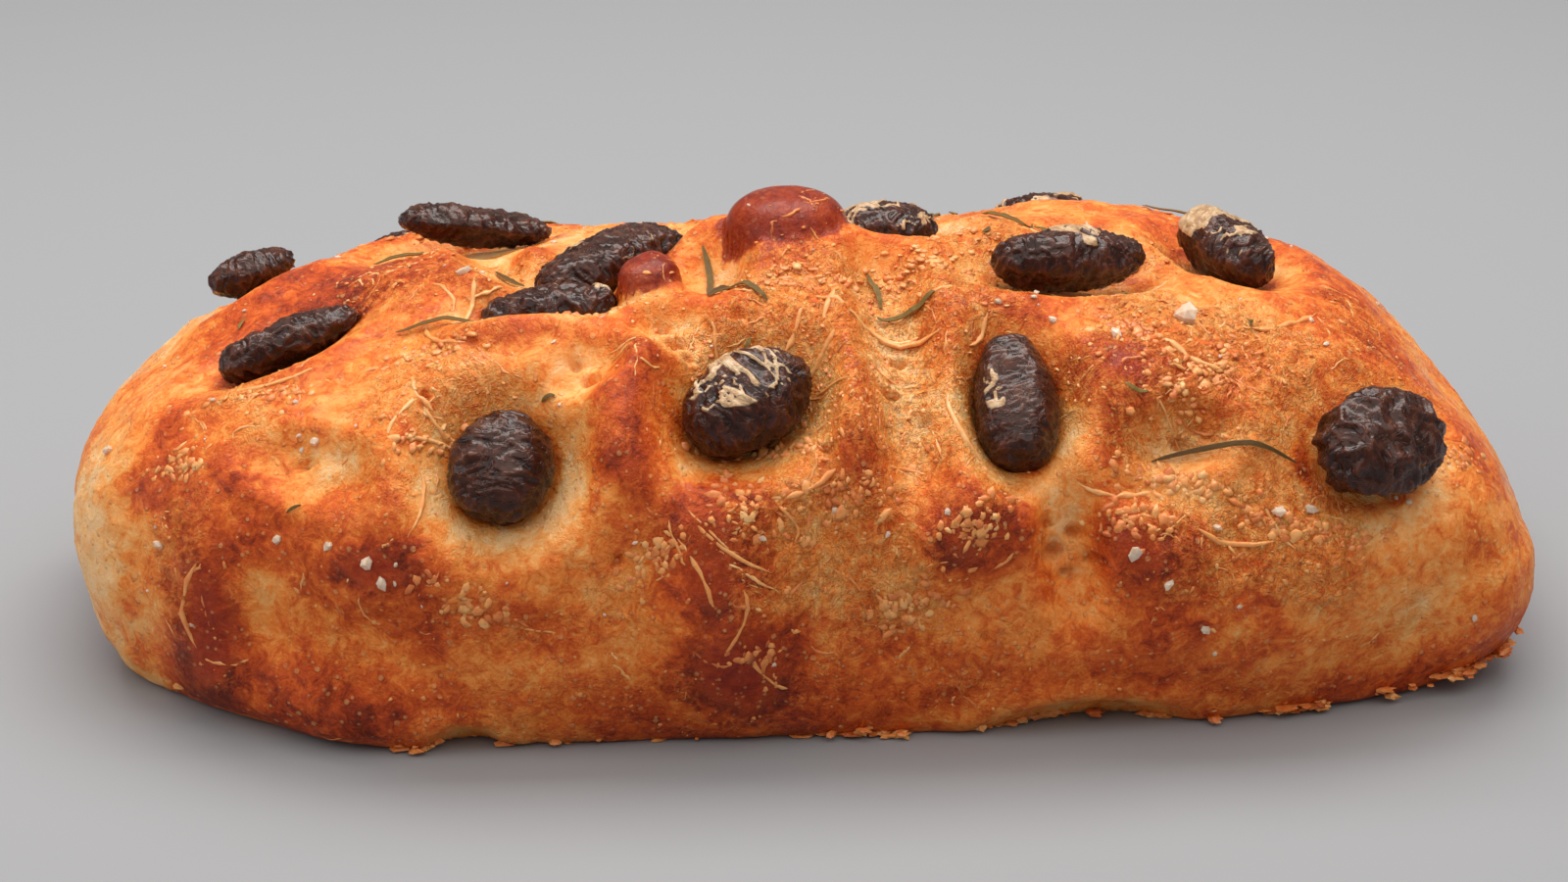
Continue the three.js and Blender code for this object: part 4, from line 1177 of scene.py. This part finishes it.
@dataclass(frozen=True)
class Rosemary:
    """Dried rosemary needles, flat and folded, tapered at both ends, and small broken bits."""

    stations: int = 22
    sides: int = 12
    bits: int = 22
    seed: int = 23

    def add(self) -> bpy.types.Object:
        """Builds and dresses all the needles as one piece."""
        draw = np.random.default_rng(self.seed)
        own = np.array([astuple(strip) for strip in NEEDLES])
        bits = np.stack(
            [
                draw.uniform(-100, 100, self.bits), draw.uniform(20, 165, self.bits),
                draw.uniform(1.5, 4.5, self.bits), draw.uniform(0.6, 1.1, self.bits),
                draw.uniform(0, 360, self.bits), draw.uniform(-40, 40, self.bits),
            ],
            axis=-1,
        )
        strips = np.concatenate([own, bits])
        share = np.linspace(0.0, 1.0, self.stations)
        offsets = Strip.offsets(strips, self.stations)
        arch = 0.35 + 0.045 * strips[:, 2:3] * np.sin(math.pi * share)
        paths, normal = laid_paths(strips[:, :2], offsets, arch, 6)
        body = np.clip(np.sin(math.pi * np.clip(share, 0.012, 0.988)), 0, 1) ** 0.42
        radii = 0.4 * strips[:, 3:4] * (0.05 + 0.95 * body) * (1 + 0.06 * draw.normal(0, 1, paths.shape[:2]))
        points = tube_shapes(paths, radii, self.sides, 0.55, normal).reshape(
            len(strips), self.stations, self.sides, 3
        )
        angle = np.linspace(0.0, 2 * math.pi, self.sides, endpoint=False)
        groove = 0.34 * np.exp(-(((angle - math.pi / 2) / 0.55) ** 2)) * (radii[..., None])
        points = points - normal[:, :, None] * groove[..., None]
        ring = grid_faces(self.stations, self.sides)[:, ::-1]
        every, faces = repeated(points.reshape(len(strips), -1, 3), ring)
        edge = np.tile(np.abs(np.cos(angle)), self.stations * len(strips))
        tone = np.repeat(draw.uniform(0, 1, len(strips)), self.stations * self.sides)
        piece = add_mesh("rosemary", every, faces, {"tone": tone, "edge": edge})
        piece.data.materials.append(RosemaryFinish().build())
        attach(piece, "root")
        return piece


@dataclass(frozen=True)
class FootCrumbs:
    """Crisp crumbs and frills of cheese along the loaf's foot."""

    count: int = 420
    seed: int = 31
    heaps: tuple[float, ...] = (-60, 3, 7, 11, 32, 35, 73, 77, 101, 105)

    def add(self) -> bpy.types.Object:
        """Builds and dresses all the crumbs as one piece."""
        draw = np.random.default_rng(self.seed)
        x = draw.choice(self.heaps, self.count) + draw.normal(0, 2.0, self.count)
        x = np.where(draw.uniform(0, 1, self.count) < 0.15, draw.uniform(-104, 104, self.count), x)
        front = draw.uniform(0, 1, self.count) < 0.65
        girth = np.where(front, -20.5, 200.5) + draw.normal(0, 0.6, self.count)
        laid = lay(x, girth)
        ball, faces = blob(9, 4)
        size = draw.uniform(0, 1, (self.count, 1)) ** 1.6 * 1.1 + 0.35
        shape = draw.uniform(0.5, 1.2, (self.count, 1, 3)) * np.array([1.3, 0.9, 0.4])
        local = ball[None] * size[..., None] * shape
        local = local * (1 + 0.3 * draw.normal(0, 1, (self.count, len(ball), 1)).clip(-1.4, 1.4))
        out = unit(laid.seat.normal * LEVEL)
        up = np.broadcast_to(np.array([0.0, 0.0, 1.0]), out.shape)
        frames = np.stack([np.cross(out, up), out, up], axis=1)
        raised = laid.point() + up * draw.uniform(0.1, 0.6, (self.count, 1))
        place = raised + out * draw.uniform(0.2, 1.0, (self.count, 1)) ** 2 * 1.5
        points = framed(local, frames, place)
        points[..., 2] = np.maximum(points[..., 2], 0.15)
        every, all_faces = repeated(points, faces)
        tone = np.repeat(draw.uniform(0, 1, self.count), len(ball))
        piece = add_mesh("foot_crumbs", every, all_faces, {"tone": tone})
        show_flat_sides(piece)
        piece.data.materials.append(CheeseFinish(darker=0.03).build())
        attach(piece, "root")
        return piece


# Finishes

def srgb(red: float, green: float, blue: float) -> tuple[float, float, float, float]:
    """A linear colour from the red, green and blue of 0 to 255 as they look on a screen."""
    share = np.array([red, green, blue]) / 255.0
    linear = np.where(share <= 0.04045, share / 12.92, ((share + 0.055) / 1.055) ** 2.4)
    return (*map(float, linear), 1.0)


Socket = bpy.types.NodeSocket
Stops = tuple[tuple[float, tuple[float, float, float]], ...]


class Arithmetic(Enum):
    """The kinds of sum that a finish works out."""

    PLUS = "ADD"
    MINUS = "SUBTRACT"
    TIMES = "MULTIPLY"
    LARGER = "MAXIMUM"
    SIZE = "ABSOLUTE"


class Graph:
    """A material's nodes, with short calls for the ones used here."""

    def __init__(self, name: str) -> None:
        """Starts a material with an empty tree and its shader and output."""
        self.material = bpy.data.materials.new(name)
        self.material.use_nodes = True
        self.tree = self.material.node_tree
        self.tree.nodes.clear()
        self.shader = self.tree.nodes.new("ShaderNodeBsdfPrincipled")
        output = self.tree.nodes.new("ShaderNodeOutputMaterial")
        self.tree.links.new(self.shader.outputs["BSDF"], output.inputs["Surface"])
        self.place = self.tree.nodes.new("ShaderNodeTexCoord").outputs["Object"]

    def put(self, socket: Socket, value: object) -> None:
        """Links a socket to another's output, or sets its value."""
        if isinstance(value, Socket):
            self.tree.links.new(value, socket)
        else:
            socket.default_value = value

    def mark(self, name: str) -> Socket:
        """The mesh's named numbers."""
        node = self.tree.nodes.new("ShaderNodeAttribute")
        node.attribute_name = name
        return node.outputs["Fac"]

    def noise(self, millimetres: float, detail: float, rough: float, warp: float = 0.0) -> Socket:
        """Cloudy noise of about 0 to 1 with lumps of the given size."""
        node = self.tree.nodes.new("ShaderNodeTexNoise")
        self.put(node.inputs["Vector"], self.place)
        node.inputs["Scale"].default_value = 1.0 / (millimetres * MM)
        node.inputs["Detail"].default_value = detail
        node.inputs["Roughness"].default_value = rough
        node.inputs["Distortion"].default_value = warp
        return node.outputs["Fac"]

    def spots(self, millimetres: float) -> Socket:
        """The distance to the nearest of many scattered points, as a share of their spacing."""
        node = self.tree.nodes.new("ShaderNodeTexVoronoi")
        self.put(node.inputs["Vector"], self.place)
        node.inputs["Scale"].default_value = 1.0 / (millimetres * MM)
        return node.outputs["Distance"]

    def work_out(self, kind: Arithmetic, a: object, b: object = 0.0) -> Socket:
        """Two numbers joined by arithmetic."""
        node = self.tree.nodes.new("ShaderNodeMath")
        node.operation = kind.value
        self.put(node.inputs[0], a)
        self.put(node.inputs[1], b)
        return node.outputs[0]

    def plus(self, a: object, b: object) -> Socket:
        """One number and another."""
        return self.work_out(Arithmetic.PLUS, a, b)

    def minus(self, a: object, b: object) -> Socket:
        """One number less another."""
        return self.work_out(Arithmetic.MINUS, a, b)

    def times(self, a: object, b: object) -> Socket:
        """One number times another."""
        return self.work_out(Arithmetic.TIMES, a, b)

    def larger(self, a: object, b: object) -> Socket:
        """The larger of two numbers."""
        return self.work_out(Arithmetic.LARGER, a, b)

    def span(self, value: object, low: float, high: float, to: tuple[float, float] = (0.0, 1.0)) -> Socket:
        """A number moved smoothly from one range to another, and held at its ends."""
        node = self.tree.nodes.new("ShaderNodeMapRange")
        node.interpolation_type = "SMOOTHSTEP"
        names = ("Value", "From Min", "From Max", "To Min", "To Max")
        for name, item in zip(names, (value, low, high, *to)):
            self.put(node.inputs[name], item)
        return node.outputs["Result"]

    def ramp(self, value: object, stops: Stops) -> Socket:
        """A colour that runs through stops given as places from 0 to 1 and screen colours."""
        node = self.tree.nodes.new("ShaderNodeValToRGB")
        self.put(node.inputs["Fac"], value)
        band = node.color_ramp
        while len(band.elements) < len(stops):
            band.elements.new(0.5)
        for element, (position, colour) in zip(band.elements, stops):
            element.position = position
            element.color = srgb(*colour)
        return node.outputs["Color"]

    def mix(self, share: object, a: object, b: object) -> Socket:
        """Two colours mixed, the first where the share is 0."""
        node = self.tree.nodes.new("ShaderNodeMix")
        node.data_type = "RGBA"
        self.put(node.inputs["Factor"], share)
        self.put(node.inputs[6], a)
        self.put(node.inputs[7], b)
        return node.outputs[2]

    def sway(self, value: object, noise: object, depth: float) -> Socket:
        """A number moved up and down by a noise of 0 to 1, by as much as half the depth."""
        return self.plus(value, self.times(self.minus(noise, 0.5), depth))

    def veins(self, millimetres: float, width: float, warp: float) -> Socket:
        """Thin winding threads, where a noise is within the width of its middle."""
        away = self.work_out(Arithmetic.SIZE, self.minus(self.noise(millimetres, 2.0, 0.5, warp), 0.5))
        return self.span(away, width, 0.0)

    def bump(self, *layers: tuple[object, float]) -> None:
        """Fine relief from heights of 0 to 1, each with its depth in millimetres."""
        normal = None
        for height, depth in layers:
            node = self.tree.nodes.new("ShaderNodeBump")
            node.inputs["Strength"].default_value = 1.0
            node.inputs["Distance"].default_value = depth * MM
            self.put(node.inputs["Height"], height)
            if normal is not None:
                self.put(node.inputs["Normal"], normal)
            normal = node.outputs["Normal"]
        self.put(self.shader.inputs["Normal"], normal)

    def set(self, **values: object) -> None:
        """Sets or links the shader's sockets, with underscores for the spaces of their names."""
        for name, value in values.items():
            self.put(self.shader.inputs[name.replace("_", " ")], value)


@dataclass(frozen=True)
class CrustFinish:
    """Baked dough: golden, browned and pale by the crust's marks, with melted cheese and an oily sheen.

    The toast mark also carries painted shade round the olives, on the upper walls of their beds and towards
    the foot.
    """

    def build(self) -> bpy.types.Material:
        """Makes the material."""
        g = Graph("baked_crust")
        slow = g.noise(7.0, 5.0, 0.6)
        swirl = g.noise(2.8, 6.0, 0.7, 1.0)
        quick = g.noise(1.5, 4.0, 0.65)
        fine = g.noise(0.5, 3.0, 0.6)
        scorch, wet = g.mark("scorch"), g.mark("wet")
        toast = g.sway(g.sway(g.mark("toast"), slow, 0.6), swirl, 1.0)
        toast = g.sway(g.sway(toast, quick, 0.3), fine, 0.3)
        dough = g.ramp(
            toast,
            (
                (0.0, (252, 200, 142)), (0.18, (250, 174, 98)), (0.36, (242, 142, 60)),
                (0.52, (222, 104, 36)), (0.68, (194, 76, 24)), (0.84, (150, 50, 16)), (1.0, (104, 32, 12)),
            ),
        )
        threads = g.larger(g.veins(2.6, 0.07, 1.2), g.veins(1.3, 0.06, 0.8))
        laced = g.times(threads, g.mark("cover"))
        cheese = g.plus(g.mark("cheese"), g.times(laced, 0.6))
        cheese = g.span(g.sway(cheese, quick, 0.6), 0.2, 0.6)
        melted = g.ramp(
            g.plus(g.times(quick, 0.75), g.times(toast, 0.5)),
            (
                (0.2, (255, 212, 150)), (0.42, (250, 176, 100)), (0.62, (240, 138, 60)),
                (0.85, (206, 90, 32)),
            ),
        )
        colour = g.mix(g.times(cheese, 0.85), dough, melted)
        scorched = g.sway(g.sway(g.sway(scorch, slow, 0.5), swirl, 0.8), quick, 0.4)
        char = ((0.3, (206, 88, 26)), (0.55, (168, 54, 12)), (0.8, (134, 30, 5)), (1.0, (92, 16, 4)))
        burnt = g.ramp(scorched, char)
        colour = g.mix(g.span(scorched, 0.25, 0.6, (0.0, 0.92)), colour, burnt)
        pearls = g.larger(g.span(g.spots(1.7), 0.27, 0.12), g.span(g.spots(3.2), 0.19, 0.1))
        pearls = g.times(pearls, g.times(g.span(slow, 0.4, 0.55), g.span(scorch, 0.9, 0.6)))
        colour = g.mix(g.times(pearls, 0.5), colour, srgb(238, 170, 108))
        rough = g.span(g.sway(g.sway(wet, slow, 0.8), quick, 0.5), 0.1, 1.0, (0.55, 0.13))
        g.set(Base_Color=colour, Roughness=rough, Subsurface_Scale=0.002)
        g.set(Subsurface_Weight=g.span(scorch, 0.6, 1.0, (0.32, 0.08)))
        g.set(Subsurface_Radius=(1.0, 0.45, 0.2), Coat_Roughness=0.12, Specular_IOR_Level=0.2)
        g.set(Coat_Weight=g.span(g.sway(wet, slow, 0.6), 0.2, 0.9, (0.04, 0.12)))
        calm = g.span(scorch, 0.6, 0.8, (1.0, 0.4))
        g.bump((g.times(swirl, calm), 0.6), (quick, 0.25), (laced, 0.3), (pearls, 0.22), (fine, 0.14))
        return g.material


@dataclass(frozen=True)
class OliveFinish:
    """A wrinkled dark olive skin, glossy, with browned cheese.

    Its ridges are painted browner and lighter as highlight and its grooves darker as shade.
    """

    def build(self) -> bpy.types.Material:
        """Makes the material, once for all the olives."""
        found = bpy.data.materials.get("olive_skin")
        if found:
            return found
        g = Graph("olive_skin")
        cloud = g.noise(4.0, 4.0, 0.6)
        fine = g.noise(0.7, 3.0, 0.6)
        crinkle = g.veins(2.2, 0.1, 1.0)
        # Painted highlight and shade: lighter on the ridges and crinkle veins, darker in the grooves, over a
        # random cloudy tone.
        tone = g.plus(g.times(g.mark("fold"), 0.36), g.times(cloud, 0.36))
        tone = g.plus(tone, g.times(crinkle, 0.12))
        skin = g.ramp(
            tone, ((0.15, (26, 9, 5)), (0.4, (54, 22, 13)), (0.58, (80, 38, 23)), (0.8, (122, 72, 48)))
        )
        cheese = g.span(g.sway(g.mark("cheese"), cloud, 0.5), 0.3, 0.55)
        quick = g.noise(1.5, 3.0, 0.6)
        melted = g.ramp(quick, ((0.25, (224, 200, 166)), (0.5, (196, 160, 120)), (0.78, (146, 102, 68))))
        # Lighter grey-brown on the upward faces: partly dust, partly painted sheen.
        dust = g.times(g.mark("dust"), g.span(cloud, 0.48, 0.72, (0.0, 0.2)))
        skin = g.mix(dust, skin, srgb(136, 98, 76))
        colour = g.mix(cheese, skin, melted)
        rough = g.plus(g.span(cloud, 0.3, 0.7, (0.12, 0.26)), g.times(cheese, 0.15))
        g.set(Base_Color=colour, Roughness=rough, Specular_IOR_Level=0.2)
        g.set(Coat_Weight=0.3, Coat_Roughness=0.07)
        g.bump((crinkle, 0.1), (fine, 0.05))
        return g.material


@dataclass(frozen=True)
class CheeseFinish:
    """Baked cheese from cream to orange-brown by each shred's tone."""

    darker: float = 0.0

    def build(self) -> bpy.types.Material:
        """Makes the material."""
        g = Graph("baked_cheese" if not self.darker else "crisp_cheese")
        quick = g.noise(1.2, 3.0, 0.6)
        slow = g.noise(14.0, 3.0, 0.5)
        tone = g.plus(g.times(g.mark("tone"), 0.42), g.times(quick, 0.5))
        tone = g.sway(tone, slow, 0.5)
        tone = g.plus(tone, self.darker)
        colour = g.ramp(
            tone,
            (
                (0.15, (248, 202, 138)), (0.4, (240, 160, 88)), (0.62, (222, 122, 54)), (0.85, (180, 80, 30)),
                (1.0, (120, 48, 18)),
            ),
        )
        g.set(Base_Color=colour, Roughness=0.42, Subsurface_Weight=0.15, Subsurface_Scale=0.0015)
        g.set(Subsurface_Radius=(1.0, 0.5, 0.2), Coat_Weight=0.15, Coat_Roughness=0.3)
        g.bump((quick, 0.15))
        return g.material


@dataclass(frozen=True)
class SaltFinish:
    """Cloudy coarse salt, a little oily."""

    def build(self) -> bpy.types.Material:
        """Makes the material."""
        g = Graph("coarse_salt")
        cloud = g.noise(1.0, 3.0, 0.6)
        colour = g.ramp(cloud, ((0.3, (238, 196, 160)), (0.65, (252, 228, 206))))
        g.set(Base_Color=colour, Roughness=0.25, Subsurface_Weight=0.4, Subsurface_Scale=0.0015)
        g.set(Subsurface_Radius=(1.0, 0.8, 0.6), Transmission_Weight=0.25, IOR=1.5)
        return g.material


@dataclass(frozen=True)
class RosemaryFinish:
    """Dried rosemary: olive-brown to dark brown, paler at the leaf's rolled edges."""

    def build(self) -> bpy.types.Material:
        """Makes the material."""
        g = Graph("dried_rosemary")
        quick = g.noise(0.9, 3.0, 0.6)
        tone = g.plus(g.times(g.mark("tone"), 0.6), g.times(quick, 0.4))
        greens = ((0.15, (128, 108, 52)), (0.45, (102, 80, 38)), (0.7, (90, 62, 32)), (0.95, (66, 42, 24)))
        leaf = g.ramp(tone, greens)
        edge = g.times(g.span(g.mark("edge"), 0.6, 1.0), 0.4)
        colour = g.mix(edge, leaf, srgb(190, 164, 100))
        g.set(Base_Color=colour, Roughness=0.55, Specular_IOR_Level=0.2)
        g.bump((quick, 0.12))
        return g.material


@dataclass(frozen=True)
class FloorFinish:
    """Plain pale paint."""

    def build(self) -> bpy.types.Material:
        """Makes the material."""
        g = Graph("pale_floor")
        g.set(Base_Color=srgb(150, 152, 156), Roughness=0.8)
        return g.material


# Studio

@dataclass(frozen=True)
class AreaLight:
    """A soft rectangular light aimed at a point, in metres and watts."""

    name: str
    at: tuple[float, float, float]
    aim: tuple[float, float, float]
    size: tuple[float, float]
    watts: float
    colour: tuple[float, float, float]

    def add(self) -> None:
        """Hangs the light."""
        lamp = bpy.data.lights.new(self.name, "AREA")
        lamp.shape = "RECTANGLE"
        lamp.size, lamp.size_y = self.size
        lamp.energy = self.watts
        lamp.color = self.colour
        aimed(bpy.data.objects.new(self.name, lamp), self.at, self.aim)


def aimed(thing: bpy.types.Object, at: tuple[float, float, float], aim: tuple[float, float, float]) -> None:
    """Places a light or camera and points it at its aim."""
    thing.location = at
    direction = Vector(aim) - Vector(at)
    thing.rotation_euler = direction.to_track_quat("-Z", "Y").to_euler()
    bpy.context.scene.collection.objects.link(thing)


@dataclass(frozen=True)
class Studio:
    """A pale floor, soft light from above and behind, and the camera at the photograph's angle."""

    eye: tuple[float, float, float] = (-0.03444, -0.47104, 0.2383)
    aim: tuple[float, float, float] = (-0.0015, 0.0001, 0.028)
    lens: float = 72.0
    floor_half: float = 1.6
    sky: float = 0.28

    def add(self) -> None:
        """Builds the floor, the lights, the world and the camera."""
        half = self.floor_half / MM
        corners = np.array([[-half, -half, 0.0], [half, -half, 0.0], [half, half, 0.0], [-half, half, 0.0]])
        floor = add_mesh("floor", corners, np.array([[0, 1, 2, 3]]), {})
        floor.data.materials.append(FloorFinish().build())
        AreaLight("key", (0.0, 0.26, 0.74), (0.0, 0.0, 0.03), (0.9, 0.4), 7.0, (1.0, 0.97, 0.93)).add()
        AreaLight("front", (0.05, -0.34, 0.82), (0.0, 0.0, 0.03), (1.7, 0.9), 5.8, (1.0, 0.97, 0.93)).add()
        AreaLight("side", (-0.7, -0.15, 0.35), (0.0, 0.0, 0.03), (0.4, 0.4), 0.8, (1.0, 0.98, 0.95)).add()
        world = bpy.data.worlds.new("studio")
        world.use_nodes = True
        background = world.node_tree.nodes["Background"]
        background.inputs["Color"].default_value = (1.0, 0.95, 0.89, 1.0)
        background.inputs["Strength"].default_value = self.sky
        scene = bpy.context.scene
        scene.world = world
        scene.view_settings.view_transform = "Standard"
        lens = bpy.data.cameras.new("camera")
        lens.lens = self.lens
        lens.sensor_width = 36.0
        camera = bpy.data.objects.new("camera", lens)
        aimed(camera, self.eye, self.aim)
        scene.camera = camera


def write_sizes() -> None:
    """Brings the view layer up to date."""
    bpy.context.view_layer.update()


def main() -> None:
    """Builds every piece in order and reports it."""
    builders = [Crust(), *(Olive(spot) for spot in OLIVES), CheeseStrands(), CheeseGrains(), SaltGrains()]
    builders += [Rosemary(), FootCrumbs()]
    for builder in builders:
        piece = builder.add()
        log.info("%s: %d points, %d faces", piece.name, len(piece.data.vertices), len(piece.data.polygons))
    Studio().add()
    write_sizes()


if __name__ == "__main__":
    main()
